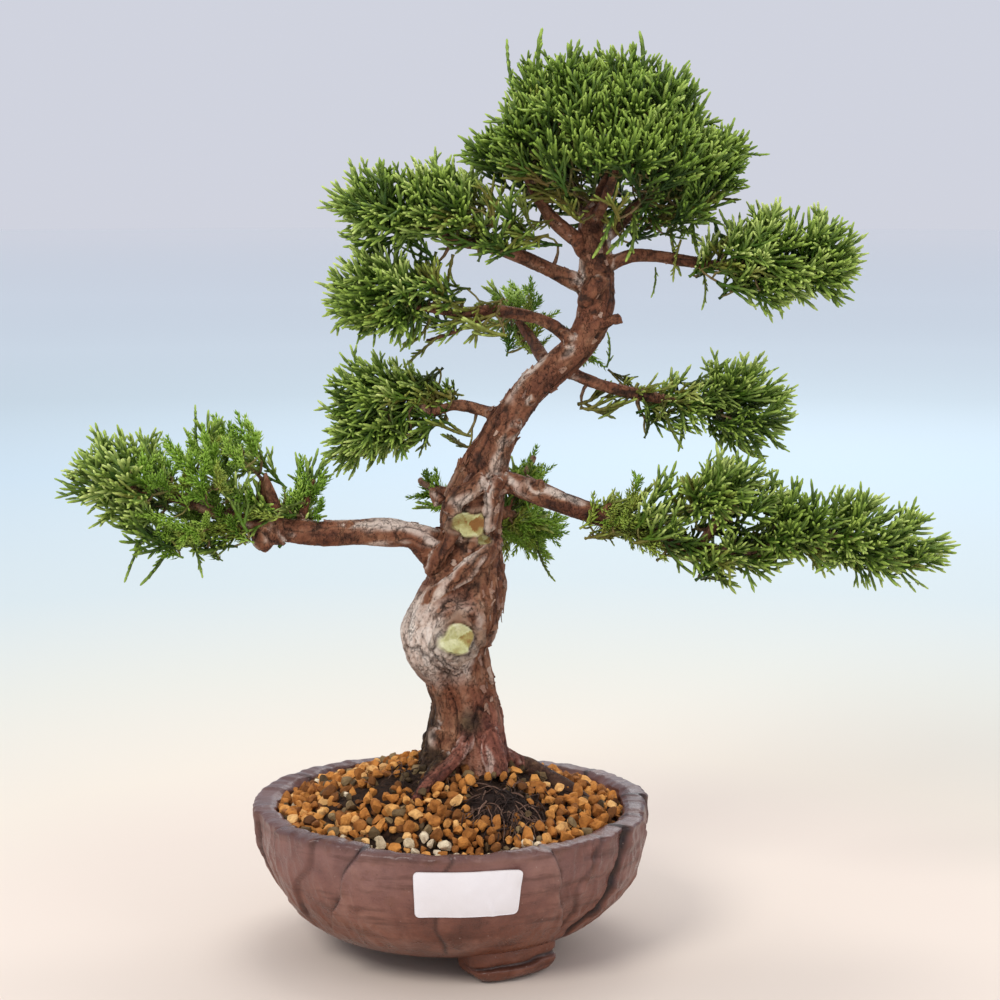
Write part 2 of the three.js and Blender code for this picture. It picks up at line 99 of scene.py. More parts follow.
def cells(points, size, seed):
    """Distances to the nearest and second nearest of scattered points, and a number for the cell."""
    q = np.asarray(points, float) / size
    base = np.floor(q).astype(np.int64)
    first = np.full(len(q), 9.0)
    second = np.full(len(q), 9.0)
    tone = np.zeros(len(q))
    for di in (-1, 0, 1):
        for dj in (-1, 0, 1):
            for dk in (-1, 0, 1):
                i, j, k = base[:, 0] + di, base[:, 1] + dj, base[:, 2] + dk
                spot = np.stack([i + lattice(i, j, k, seed), j + lattice(i, j, k, seed + 1),
                                 k + lattice(i, j, k, seed + 2)], 1)
                d = np.linalg.norm(q - spot, axis=1)
                nearer = d < first
                second = np.where(nearer, first, np.minimum(second, d))
                tone = np.where(nearer, lattice(i, j, k, seed + 3), tone)
                first = np.where(nearer, d, first)
    return first * size, second * size, tone


def step(low, high, value):
    t = np.clip((value - low) / (high - low), 0, 1)
    return t * t * (3 - 2 * t)


def unit(v):
    v = np.asarray(v, float)
    return v / np.maximum(np.linalg.norm(v, axis=-1, keepdims=True), 1e-9)


# ---- Meshes ----
def piece(name, points, faces, values=None, smooth=True, slot=None, replaces=()):
    """A mesh object from points in millimetres and faces, a list of arrays with 3 or 4 corners a row."""
    mesh = bpy.data.meshes.new(name)
    co = (np.asarray(points, float) * MM + AXIS).astype(np.float32)
    mesh.vertices.add(len(co))
    mesh.vertices.foreach_set("co", co.ravel())
    faces = [np.asarray(f, np.int32) for f in faces if len(f)]
    corners = np.concatenate([f.ravel() for f in faces])
    sizes = np.concatenate([np.full(len(f), f.shape[1]) for f in faces])
    starts = np.concatenate([[0], np.cumsum(sizes)[:-1]]).astype(np.int32)
    mesh.loops.add(len(corners))
    mesh.loops.foreach_set("vertex_index", corners)
    mesh.polygons.add(len(sizes))
    mesh.polygons.foreach_set("loop_start", starts)
    mesh.update(calc_edges=True)
    for key, value in (values or {}).items():
        mesh.attributes.new(key, "FLOAT", "POINT").data.foreach_set("value", np.asarray(value, np.float32))
    mesh.polygons.foreach_set("use_smooth", np.full(len(sizes), smooth))
    mesh.update()
    obj = bpy.data.objects.new(name, mesh)
    bpy.context.scene.collection.objects.link(obj)
    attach(obj, "root")
    if replaces:
        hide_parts(*replaces)
    return obj


def points_of(mesh):
    """A mesh's points in millimetres from the bowl's axis."""
    co = np.zeros(len(mesh.vertices) * 3, np.float32)
    mesh.vertices.foreach_get("co", co)
    return (co.reshape(-1, 3).astype(float) - AXIS) / MM


def grid_faces(rows, columns, wrap_rows=False, wrap_columns=False):
    """Quads over a rows x columns grid of points, numbered row by row."""
    r = np.arange(rows if wrap_rows else rows - 1)
    c = np.arange(columns if wrap_columns else columns - 1)
    r, c = (a.ravel() for a in np.meshgrid(r, c, indexing="ij"))
    r2, c2 = (r + 1) % rows, (c + 1) % columns
    return np.stack([r * columns + c, r * columns + c2, r2 * columns + c2, r2 * columns + c], 1)


def smooth_path(points, spacing):
    """Points (with any further columns) every `spacing` along a smooth curve through the given ones."""
    p = np.asarray(points, float)
    ends = np.vstack([2 * p[0] - p[1], p, 2 * p[-1] - p[-2]])
    out = []
    for i in range(len(p) - 1):
        a, b, c, d = ends[i:i + 4]
        n = max(int(math.ceil(np.linalg.norm((c - b)[:3]) / spacing)), 1)
        t = np.linspace(0, 1, n, endpoint=False)[:, None]
        out.append(0.5 * ((2 * b) + (c - a) * t + (2 * a - 5 * b + 4 * c - d) * t ** 2
                          + (3 * b - a - 3 * c + d) * t ** 3))
    return np.vstack(out + [p[-1:]])


def frames(path):
    """Unit tangents, and two directions across them that turn as little as they can."""
    tangents = unit(np.gradient(path, axis=0))
    side = np.cross(tangents[0], [0.31, 0.17, 0.93])
    sides = []
    for t in tangents:
        side = side - t * (side @ t)
        side = side / max(np.linalg.norm(side), 1e-9)
        sides.append(side)
    sides = np.array(sides)
    return tangents, sides, np.cross(tangents, sides)


def tube(path, radii, sides):
    """Points and faces of a closed tube along a path."""
    path = np.asarray(path, float)
    _, u, v = frames(path)
    angles = np.linspace(0, 2 * math.pi, sides, endpoint=False)
    ring = (u[:, None] * np.cos(angles)[None, :, None] + v[:, None] * np.sin(angles)[None, :, None])
    points = (path[:, None] + ring * np.asarray(radii, float)[:, None, None]).reshape(-1, 3)
    quads = grid_faces(len(path), sides, wrap_columns=True)
    n = len(points)
    points = np.vstack([points, path[:1], path[-1:]])
    c = np.arange(sides)
    start = np.stack([np.full(sides, n), (c + 1) % sides, c], 1)
    end = np.stack([np.full(sides, n + 1), n - sides + c, n - sides + (c + 1) % sides], 1)
    return points, quads, np.vstack([start, end])


class Heap:
    """Gathers many small shapes into one mesh."""

    def __init__(self):
        self.points, self.quads, self.tris, self.values, self.count = [], [], [], {}, 0

    def add(self, points, quads=(), tris=(), **values):
        if len(quads):
            self.quads.append(np.asarray(quads) + self.count)
        if len(tris):
            self.tris.append(np.asarray(tris) + self.count)
        self.points.append(points)
        for key, value in values.items():
            value = np.broadcast_to(np.asarray(value, float), (len(points),))
            self.values.setdefault(key, []).append(value)
        self.count += len(points)

    def piece(self, name, **options):
        faces = [np.vstack(f) for f in (self.quads, self.tris) if f]
        values = {key: np.concatenate(value) for key, value in self.values.items()}
        return piece(name, np.vstack(self.points), faces, values, **options)


# ---- Materials ----
class Nodes:
    """A short way to write a material's nodes."""

    def __init__(self, name, roughness=0.6, specular=0.5):
        self.material = bpy.data.materials.new(name)
        self.material.use_nodes = True
        self.tree = self.material.node_tree
        self.shader = self.tree.nodes["Principled BSDF"]
        self.shader.inputs["Roughness"].default_value = roughness
        self.shader.inputs["Specular IOR Level"].default_value = specular
        self.place = self.node("ShaderNodeTexCoord").outputs["Object"]

    def node(self, kind, **settings):
        made = self.tree.nodes.new(kind)
        for key, value in settings.items():
            setattr(made, key, value)
        return made

    def link(self, value, socket):
        if isinstance(value, bpy.types.NodeSocket):
            self.tree.links.new(value, socket)
        else:
            socket.default_value = value
        return socket

    def value(self, name):
        return self.node("ShaderNodeAttribute", attribute_name=name).outputs["Fac"]

    def noise(self, scale, detail=3.0, roughness=0.55, stretch=None):
        place = self.place
        if stretch:
            mapping = self.node("ShaderNodeMapping")
            self.link(place, mapping.inputs["Vector"])
            mapping.inputs["Scale"].default_value = stretch
            place = mapping.outputs["Vector"]
        made = self.node("ShaderNodeTexNoise")
        self.link(place, made.inputs["Vector"])
        made.inputs["Scale"].default_value = scale
        made.inputs["Detail"].default_value = detail
        made.inputs["Roughness"].default_value = roughness
        return made.outputs["Fac"]

    def voronoi(self, scale):
        made = self.node("ShaderNodeTexVoronoi")
        self.link(self.place, made.inputs["Vector"])
        made.inputs["Scale"].default_value = scale
        return made.outputs["Distance"]

    def ramp(self, value, *stops):
        """A colour ramp; each stop is where it lies and a colour, or a number for a grey."""
        made = self.node("ShaderNodeValToRGB")
        self.link(value, made.inputs["Fac"])
        elements = made.color_ramp.elements
        while len(elements) < len(stops):
            elements.new(0.5)
        for element, (at, color) in zip(elements, stops):
            element.position = at
            element.color = (*color, 1) if isinstance(color, tuple) else (color, color, color, 1)
        return made.outputs["Color"]

    def mix(self, factor, a, b, blend="MIX"):
        """Colour a turned into colour b by the factor."""
        made = self.node("ShaderNodeMix", data_type="RGBA", blend_type=blend)
        self.link(factor, made.inputs["Factor"])
        # The node keeps sockets for every data type; 6 and 7 are the colours going in, 2 the one out.
        for socket, value in ((made.inputs[6], a), (made.inputs[7], b)):
            self.link((*value, 1) if isinstance(value, tuple) else value, socket)
        return made.outputs[2]

    def math(self, operation, a, b=0.0, clamp=False):
        made = self.node("ShaderNodeMath", operation=operation, use_clamp=clamp)
        self.link(a, made.inputs[0])
        self.link(b, made.inputs[1])
        return made.outputs[0]

    def times(self, a, b):
        return self.math("MULTIPLY", a, b)

    def plus(self, a, b):
        return self.math("ADD", a, b)

    def minus(self, a, b):
        return self.math("SUBTRACT", a, b)

    def bump(self, height, distance, strength=1.0):
        made = self.node("ShaderNodeBump")
        made.inputs["Distance"].default_value = distance
        made.inputs["Strength"].default_value = strength
        self.link(height, made.inputs["Height"])
        return made.outputs["Normal"]

    def finish(self, color, normal=None, roughness=None):
        self.link(color, self.shader.inputs["Base Color"])
        if normal is not None:
            self.link(normal, self.shader.inputs["Normal"])
        if roughness is not None:
            self.link(roughness, self.shader.inputs["Roughness"])
        return self.material


def wear(obj, material):
    obj.data.materials.clear()
    obj.data.materials.append(material)
    return obj


# ---- Camera, floor and light ----
CAMERA_PLACE = np.array([18.8, -835.2, 292.9])
LOOKS_DOWN = 0.1474   # radians
LENS, SENSOR = 82.8, 36

camera = bpy.data.objects.new("camera", bpy.data.cameras.new("camera"))
camera.data.lens = LENS
camera.data.sensor_width = SENSOR
camera.data.clip_start = 0.01
camera.location = AXIS + CAMERA_PLACE * MM
camera.rotation_euler = (math.pi / 2 - LOOKS_DOWN, 0, 0)
bpy.context.scene.collection.objects.link(camera)
bpy.context.scene.camera = camera


def soft_light(name, place, size, power, color=(1, 1, 1)):
    """A round light: its place and size are in metres, its power in watts."""
    data = bpy.data.lights.new(name, "POINT")
    data.shadow_soft_size = size / 2
    data.energy = power
    data.color = color
    light = bpy.data.objects.new(name, data)
    light.location = place
    bpy.context.scene.collection.objects.link(light)


soft_light("key_light", (-0.75, -1.15, 1.25), 0.7, 64, (1, 0.985, 0.95))
soft_light("fill_light", (1.2, -0.9, 0.75), 0.9, 18, (1, 0.99, 0.97))
soft_light("top_light", (0.1, 0.35, 1.6), 0.9, 36)
soft_light("rim_light", (0.3, 1.5, 0.9), 0.9, 16)

world = bpy.data.worlds.new("studio")
world.use_nodes = True
backdrop = world.node_tree.nodes["Background"]
backdrop.inputs["Color"].default_value = (0.80, 0.825, 0.93, 1)
backdrop.inputs["Strength"].default_value = 0.79
bpy.context.scene.world = world
bpy.context.scene.view_settings.view_transform = "Standard"

FLOOR_REACH = 9.0    # metres, like TINT_REACH
TINT_REACH = 8.0
FLOOR_DEPTH = -0.02
# The floor's tint by its distance from the bowl, as a share of TINT_REACH: warm near, cool further off.
FLOOR_TINTS = [
    (0.025, (0.73, 0.635, 0.55)), (0.035, (0.74, 0.67, 0.57)), (0.06, (0.67, 0.67, 0.60)),
    (0.094, (0.59, 0.66, 0.66)), (0.17, (0.575, 0.69, 0.75)), (0.256, (0.62, 0.72, 0.76)),
    (0.35, (0.76, 0.85, 0.89)), (0.51, (0.86, 0.93, 0.965)), (1.0, (0.96, 0.98, 0.99)),
]
rings = np.concatenate([[0.001], np.geomspace(0.05, FLOOR_REACH, 40)]) / MM
turns = np.linspace(0, 2 * math.pi, 96, endpoint=False)
floor_points = np.stack([(rings[:, None] * np.cos(turns)).ravel(), (rings[:, None] * np.sin(turns)).ravel(),
                         np.full(len(rings) * len(turns), FLOOR_DEPTH)], 1)
floor_mesh = bpy.data.meshes.new("floor")
floor_mesh.from_pydata((floor_points * MM + AXIS).tolist(), [],
                       grid_faces(len(rings), len(turns), wrap_columns=True).tolist())
floor = bpy.data.objects.new("floor", floor_mesh)
bpy.context.scene.collection.objects.link(floor)
paint = Nodes("pale_floor", roughness=0.9, specular=0.1)
from_middle = paint.node("ShaderNodeVectorMath", operation="LENGTH")
paint.link(paint.place, from_middle.inputs[0])
spread = paint.math("DIVIDE", from_middle.outputs["Value"], TINT_REACH)
wear(floor, paint.finish(paint.ramp(spread, *FLOOR_TINTS)))


# ---- The bowl ----
def quarter(from_radius, low, to_radius, high, steps):
    angle = np.linspace(0, math.pi / 2, steps)
    return np.stack([from_radius + (to_radius - from_radius) * np.sin(angle),
                     high - (high - low) * np.cos(angle)], 1)


def rim_wave(angle):
    return RIM_WAVE * (0.6 * np.sin(3 * angle + 0.7) + 0.4 * np.sin(5 * angle + 2.1))


def around(angle, centre):
    """Degrees round the bowl from `centre`, from -180 to 180."""
    return (np.degrees(angle) - centre + 180) % 360 - 180


# The slab's folds: angle round the bowl in degrees, slant in degrees per millimetre of height, the
# step up on the fold's right, how wide that step fades, and how deep the fold line is.
FOLDS = [
    (-151, 0.30, 2.0, 15, 1.5), (-135, 0.52, -1.1, 9, 0.9), (-120, 0.46, 3.2, 26, 2.2),
    (-90, 0.06, 0.5, 12, 1.0), (-58, -0.30, -3.0, 26, 2.2), (-45, 0.22, 0.9, 9, 0.8),
    (-31, 0.24, 2.0, 15, 1.5), (-12, -0.2, -1.2, 11, 1.0), (6, -0.2, 2.0, 20, 1.4),
    (36, 0.25, -1.8, 18, 1.4), (71, -0.3, 1.9, 22, 1.5), (108, 0.3, -2.1, 20, 1.6),
    (135, 0.1, 0.9, 10, 0.9), (155, -0.35, 2.0, 18, 1.5), (-171, 0.3, -1.6, 14, 1.2),
]
FOLD_STRENGTH = 1.25


def clay_swell(angle, height, point):
    """How far the clay stands out from the plain bowl, and how deep it lies in one of the folds, which is
    painted as shade in the clay's colour.
    """
    swell = 0.9 * noise(point, 34, 5) + 0.5 * noise(point, 13, 6)
    swell -= 1.7 * np.exp(-(around(angle, -160) / 34.0) ** 2)
    fold_shade = np.zeros(len(point))
    up = step(UNDERSIDE_HEIGHT, UNDERSIDE_HEIGHT + 12, height)
    for centre, slant, rise, width, depth in FOLDS:
        wander = 2.6 * noise(np.stack([height, height * 0 + centre, height * 0], 1), 9, 11)
        off = around(angle, centre) - slant * (height - 44) - wander
        edge = np.clip(off / 0.8, -1, 1) * 0.5 + 0.5
        swell += FOLD_STRENGTH * rise * up * (edge - 0.5) * np.exp(-np.abs(off) / width)
        broken = np.clip(0.75 + 0.7 * noise(point, 9, 12 + int(centre) % 7), 0, 1)
        line = np.exp(-(off / 0.72) ** 2) * broken
        swell -= FOLD_STRENGTH * depth * up * line
        fold_shade = np.maximum(fold_shade, line * depth * up)
    # Wiped streaks run round the wall; the right side is wrinkled the most.
    streak_place = np.stack([angle * 9, height * 0.9, angle * 0 + 3], 1)
    right = 0.35 + 0.65 * np.exp(-(around(angle, -30) / 42.0) ** 2)
    swell += right * 0.6 * noise(streak_place, 3.1, 15)
    crumpled = np.stack([angle * BOWL_RADIUS, height * 0.42 + 3 * noise(point, 16, 17), angle * 0], 1)
    wrinkle = 1 - np.abs(noise(crumpled, 4.2, 18))
    swell += up * (0.5 + 0.5 * right) * 0.9 * (wrinkle ** 3 - 0.4)
    swell += right * 0.28 * noise(crumpled, 1.5, 16)
    pit, _, tone = cells(point, 5.5, 21)
    swell -= 0.45 * (tone > 0.72) * np.exp(-(pit / 0.75) ** 2)
    swell += 0.10 * noise(point, 1.7, 23)
    return swell, fold_shade


def bowl_piece():
    turns_round = 640
    angle = np.linspace(0, 2 * math.pi, turns_round, endpoint=False)
    outside = quarter(UNDERSIDE_RADIUS, UNDERSIDE_HEIGHT, BOWL_RADIUS, ROLL_HEIGHT, 64)
    roll_angle = np.linspace(0, math.pi, 22)[1:-1]
    inside = quarter(UNDERSIDE_RADIUS - WALL / 2, FLOOR_HEIGHT, INNER_RADIUS, ROLL_HEIGHT, 26)[::-1]
    under = np.stack([np.linspace(DRAIN_RADIUS + 1.2, UNDERSIDE_RADIUS - 1.5, 8),
                      np.full(8, UNDERSIDE_HEIGHT)], 1)
    floor_line = np.stack([np.linspace(UNDERSIDE_RADIUS - WALL / 2 - 2, DRAIN_RADIUS + 1, 6),
                           np.full(6, FLOOR_HEIGHT)], 1)
    bore = np.array([[DRAIN_RADIUS, FLOOR_HEIGHT - 1], [DRAIN_RADIUS, UNDERSIDE_HEIGHT + 4.5],
                     [DRAIN_RADIUS, UNDERSIDE_HEIGHT + 1]])
    # Each profile point is radius, height, how much of the outside's swell it takes, rim share.
    rows = []
    for r, z in under:
        rows.append((r, z, 0.0, 0.0))
    for r, z in outside:
        rows.append((r, z, float(step(0, 10, z - UNDERSIDE_HEIGHT)), 0.0))
    for a in roll_angle:
        half = WALL / 2
        rows.append((BOWL_RADIUS - half + half * math.cos(a), ROLL_HEIGHT + half * math.sin(a),
                     1.0 - 0.75 * a / math.pi, a / math.pi))
    for r, z in inside:
        rows.append((r, z, 0.25, 1.0))
    for r, z in np.vstack([floor_line, bore]):
        rows.append((r, z, 0.0, 0.0))
    rows = np.array(rows)
    r, a = np.meshgrid(rows[:, 0], angle, indexing="ij")
    z, share, rim = (np.meshgrid(rows[:, n], angle, indexing="ij")[0] for n in (1, 2, 3))
    r, a, z, share, rim = (x.ravel() for x in (r, a, z, share, rim))
    place = np.stack([r * np.cos(a), r * np.sin(a), z], 1)
    swell, fold_shade = clay_swell(a, z, place)
    labelled = np.exp(-(around(a, -84) / 19.0) ** 6) * step(20, 26, z) * (1 - step(50, 53, z))
    swell = swell * (1 - 0.82 * labelled)
    # The rolled lip is thick at the sides and thin and low along the front.
    front = np.exp(-(around(a, -86) / 24.0) ** 4)
    lip = step(0.05, 0.5, rim) * step(40, 50, z)
    thick = 3.0 * (1 - front) - 1.4 * front + 1.5 * noise(np.stack([a * 8, a * 0, a * 0], 1), 2.3, 31)
    thick += 0.7 * noise(np.stack([a * 30, z, a * 0], 1), 2.0, 32)
    r = r + swell * share - lip * thick
    lift = step(SOIL_EDGE, RIM_HEIGHT, z)
    uneven = 0.8 * noise(np.stack([a * 9, a * 0, a * 0 + 7], 1), 1.5, 33) - 2.3 * front
    uneven += 0.35 * noise(np.stack([a * 40, a * 0, a * 0 + 3], 1), 1.6, 34)
    slope = lip * (1 - front) * 1.6
    z = z + lift * (rim_wave(a) + uneven - slope)
    hold = np.minimum(z, bowl_high.z / MM + 0.6)
    points = np.stack([r * np.cos(a), r * np.sin(a) * BOWL_OVAL, hold], 1)
    faces = grid_faces(len(rows), turns_round, wrap_rows=True, wrap_columns=True)[:, ::-1]
    worn = step(0.3, 1.6, swell) * share + lift * (1 - rim) * 0.4
    values = {"fold_shade": fold_shade, "worn": np.clip(worn, 0, 1), "height": z / RIM_HEIGHT}
    return piece("bowl", points, [faces], values, slot="clay", replaces=["pot_bowl"])


def outside_radius(height):
    down = np.clip((ROLL_HEIGHT - height) / (ROLL_HEIGHT - UNDERSIDE_HEIGHT), 0, 1)
    return UNDERSIDE_RADIUS + (BOWL_RADIUS - UNDERSIDE_RADIUS) * np.sqrt(1 - down ** 2)


def foot_piece(name, degrees, seed):
    """A slab of clay folded over on itself and pressed under the bowl's edge."""
    length, depth, height, stick_out = 38.0, 24.0, 13.0, 14.0
    rows, columns = 60, 120
    u = np.linspace(0, 2 * math.pi, columns, endpoint=False)
    v = np.linspace(-math.pi / 2, math.pi / 2, rows)
    v, u = (x.ravel() for x in np.meshgrid(v, u, indexing="ij"))

    def power(x, e):
        return np.sign(x) * np.abs(x) ** e

    x = depth / 2 * power(np.cos(v), 0.5) * power(np.cos(u), 0.62)
    y = length / 2 * power(np.cos(v), 0.5) * power(np.sin(u), 0.62)
    tall = height + 6
    z = tall / 2 + tall / 2 * power(np.sin(v), 0.55)
    spot = np.stack([x, y, z + 40 * seed], 1)
    out = np.stack([np.cos(u), np.sin(u)], 1)
    crease_at = 5.8 + 1.6 * noise(np.stack([y, y * 0 + seed, y * 0], 1), 14, 41)
    crease = np.exp(-((z - crease_at) / 0.75) ** 2) * step(-0.3, 0.5, np.cos(u))
    upper = step(-0.4, 0.6, z - crease_at)
    push = 0.8 * noise(spot, 11, 42) + 0.35 * noise(spot, 3.5, 43) + 0.12 * noise(spot, 1.3, 44)
    push = push - 1.7 * crease - 1.5 * upper * step(0, 1, np.cos(u))
    side = np.cos(v) ** 0.4
    x = x + out[:, 0] * (push - 0.8) * side
    y = y + out[:, 1] * (push - 0.8) * side
    z = np.maximum(z + 0.3 * noise(spot, 6, 45), 0.0)
    turn = math.radians(degrees)
    x = x + UNDERSIDE_RADIUS + stick_out - depth / 2
    px, py = x * math.cos(turn) - y * math.sin(turn), x * math.sin(turn) + y * math.cos(turn)
    # The top follows the bowl's underside.
    radius = np.hypot(px, py / BOWL_OVAL)
    reach = np.clip((radius - UNDERSIDE_RADIUS) / (BOWL_RADIUS - UNDERSIDE_RADIUS), 0, 1)
    under = ROLL_HEIGHT - (ROLL_HEIGHT - UNDERSIDE_HEIGHT) * np.sqrt(1 - reach ** 2)
    z = np.minimum(z, under + 0.7)
    points = np.stack([px, py, z], 1)
    faces = grid_faces(rows, columns, wrap_columns=True)
    # The crease's darkness is painted shade, carried to the material with the bowl's fold lines.
    values = {"fold_shade": crease, "worn": np.clip(push * 0.6, 0, 1), "height": z / RIM_HEIGHT}
    return piece(name, points, [faces], values, slot="clay", replaces=[name])


def clay_material():
    m = Nodes("pinched_stoneware", roughness=0.42, specular=0.34)
    m.shader.inputs["Coat Weight"].default_value = 0.05
    m.shader.inputs["Coat Roughness"].default_value = 0.2
    broad = m.noise(28, 4, 0.6)
    mottle = m.noise(150, 5, 0.62)
    fine = m.noise(900, 3, 0.5)
    body = m.ramp(m.plus(m.times(broad, 0.55), m.times(mottle, 0.45)),
                  (0.36, (0.066, 0.021, 0.013)), (0.5, (0.166, 0.055, 0.032)), (0.63, (0.280, 0.113, 0.072)))
    browner = m.ramp(m.value("height"), (0.15, 1.0), (0.75, 0.0))
    color = m.mix(m.times(browner, 0.5), body, (0.150, 0.052, 0.028))
    # Painted sheen: the upper wall is turned purple-grey in its colour, standing in for a glossy reflection.
    sheen_by_height = m.ramp(m.value("height"), (0.35, 0.0), (0.80, 0.7))
    painted_sheen = m.times(sheen_by_height, m.ramp(broad, (0.35, 0.5), (0.6, 1.0)))
    color = m.mix(painted_sheen, color, (0.205, 0.108, 0.100))
    rubbed = m.times(m.value("worn"), m.ramp(mottle, (0.35, 0.1), (0.65, 0.9)))
    color = m.mix(m.times(rubbed, 0.5), color, (0.310, 0.165, 0.125))
    rim_dark = m.ramp(m.value("height"), (0.91, 0.0), (0.98, 0.8))
    color = m.mix(rim_dark, color, (0.066, 0.029, 0.026))
    rusty = m.times(m.ramp(m.noise(60, 6, 0.7), (0.56, 0.0), (0.68, 1.0)), 0.5)
    color = m.mix(rusty, color, (0.150, 0.058, 0.028))
    # Painted shade: the fold lines and the feet's crease are darkened in colour.
    color = m.mix(m.math("MULTIPLY", m.value("fold_shade"), 1.0, clamp=True), color, (0.024, 0.010, 0.008))
    speck = m.ramp(m.voronoi(420), (0.05, 1.0), (0.11, 0.0))
    speck = m.times(speck, m.ramp(m.noise(210, 2), (0.55, 0.0), (0.62, 1.0)))
    color = m.mix(m.times(speck, 0.7), color, (0.030, 0.018, 0.015))
    streaks = m.noise(95, 4, 0.6, stretch=(0.35, 0.35, 2.6))
    color = m.mix(m.ramp(streaks, (0.54, 0.0), (0.68, 0.55)), color, (0.058, 0.020, 0.013))
    grit = m.ramp(m.voronoi(260), (0.04, 1.0), (0.08, 0.0))
    color = m.mix(m.times(grit, 0.45), color, (0.42, 0.30, 0.25))
    normal = m.bump(m.plus(m.times(streaks, 0.7), m.times(fine, 0.3)), 0.0009, 0.7)
    rough = m.ramp(mottle, (0.3, 0.22), (0.7, 0.46))
    return m.finish(color, normal, rough)


FEET = {"foot_front_right": (-57, 1), "foot_back_right": (56, 2), "foot_back_left": (142, 3)}
clay = clay_material()
wear(bowl_piece(), clay)
for foot_name, (foot_degrees, foot_seed) in FEET.items():
    wear(foot_piece(foot_name, foot_degrees, foot_seed), clay)


# ---- The label ----
def label_piece():
    """A blank paper label, its corners rounded, bent round the bowl with one corner lifting."""
    width, height, thickness, corner = 38.0, 17.5, 0.22, 1.8
    across, along = 96, 46
    s, t = np.meshgrid(np.linspace(-1, 1, across), np.linspace(-1, 1, along), indexing="ij")
    x, y = s * width / 2, t * height / 2
    over_x, over_y = np.abs(x) - (width / 2 - corner), np.abs(y) - (height / 2 - corner)
    inside = (over_x > 0) & (over_y > 0)
    far = np.maximum(np.hypot(over_x, over_y), 1e-6)
    box_far = np.maximum(over_x, over_y)
    shrink = np.where(inside, box_far / far, 1.0)
    x = np.where(inside, np.sign(x) * (width / 2 - corner + over_x * shrink), x)
    y = np.where(inside, np.sign(y) * (height / 2 - corner + over_y * shrink), y)
    x, y = x.ravel(), y.ravel()
    middle = RIM_HEIGHT - 7.5 - height / 2
    angle = math.radians(-84) + x / BOWL_RADIUS
    flat = np.stack([x, y, x * 0], 1)
    off = 0.55 + 0.22 * noise(flat, 9, 51) + 0.08 * noise(flat, 3, 52)
    off += 1.3 * step(0.72, 1.05, x / width * 2) * step(0.1, 1.0, y / height * 2)
    off += 0.9 * step(0.7, 1.05, -x / width * 2) * step(0.2, 1.0, -y / height * 2)
    off += 0.5 * np.exp(-((x - 6 + 0.4 * y) / 1.1) ** 2) * step(0.0, 1.0, -y / height * 2)
    sheets = []
    for extra in (thickness, 0.0):
        z = middle + y
        radius = outside_radius(z) + off + extra
        sheets.append(np.stack([radius * np.cos(angle), radius * np.sin(angle) * BOWL_OVAL, z], 1))
    quads = grid_faces(across, along)
    n = across * along
    ids = np.arange(n).reshape(across, along)
    edge = np.concatenate([ids[:, 0], ids[-1, 1:], ids[-2::-1, -1], ids[0, -2:0:-1]])
    following = np.roll(edge, -1)
    rim = np.stack([edge, edge + n, following + n, following], 1)
    obj = piece("label", np.vstack(sheets), [quads, quads[:, ::-1] + n, rim], slot="label_paper",
                replaces=["paper_label"])
    m = Nodes("blank_label_paper", roughness=0.42, specular=0.35)
    fibre = m.noise(1400, 4, 0.6)
    smudge = m.noise(70, 3, 0.5)
    color = m.mix(m.ramp(smudge, (0.4, 0.0), (0.75, 0.5)), (0.82, 0.785, 0.805), (0.77, 0.73, 0.735))
    color = m.mix(m.times(fibre, 0.12), color, (0.70, 0.69, 0.68))
    return wear(obj, m.finish(color, m.bump(fibre, 0.0001, 0.4)))


label_piece()


# ---- Drainage: the CAD's own shapes with better surfaces ----
def plain_part(node, name, dark, light, roughness, scale, metallic=0.0):
    m = Nodes(name, roughness=roughness)
    m.shader.inputs["Metallic"].default_value = metallic
    grime = m.noise(scale, 5, 0.6)
    color = m.ramp(grime, (0.3, dark), (0.7, light))
    rough = m.ramp(m.noise(scale * 3, 3), (0.3, roughness - 0.08), (0.7, roughness + 0.14))
    wear(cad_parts[node], m.finish(color, m.bump(m.noise(scale * 6, 3), 0.00015, 0.5), rough))


plain_part("drain_mesh", "moulded_mesh", (0.010, 0.011, 0.010), (0.035, 0.036, 0.033), 0.5, 160)
plain_part("mesh_clip", "copper_brown_wire", (0.20, 0.10, 0.06), (0.42, 0.24, 0.15), 0.38, 240, 1.0)


# ---- Soil ----
def soil_height(x, y):
    part = np.minimum(np.hypot(x, y / BOWL_OVAL) / INNER_RADIUS, 1)
    return SOIL_EDGE + SOIL_RISE * (1 - part * part) ** 1.5


BARE_PATCH = (20.0, -31.0, 17.0, 17.0)   # where fine roots lie bare: middle and half sizes
HOLLOW = (-21.0, -46.0)                  # a small hole in the soil by the front wall
TRUNK_FOOT = (6.0, 5.0)
# Patches of damp, dark soil with few granules: middle and half sizes.
DARK_BANDS = [(-16.0, -13.0, 17.0, 9.0), (-30.0, -18.0, 12.0, 7.0), (6.0, 0.0, 22.0, 17.0),
              (38.0, 1.0, 22.0, 7.0), (20.0, -29.0, 14.0, 14.0)]


def darkness(x, y):
    total = np.zeros_like(x)
    for bx, by, rx, ry in DARK_BANDS:
        total = np.maximum(total, np.exp(-(((x - bx) / rx) ** 2 + ((y - by) / ry) ** 2) ** 1.5))
    return total


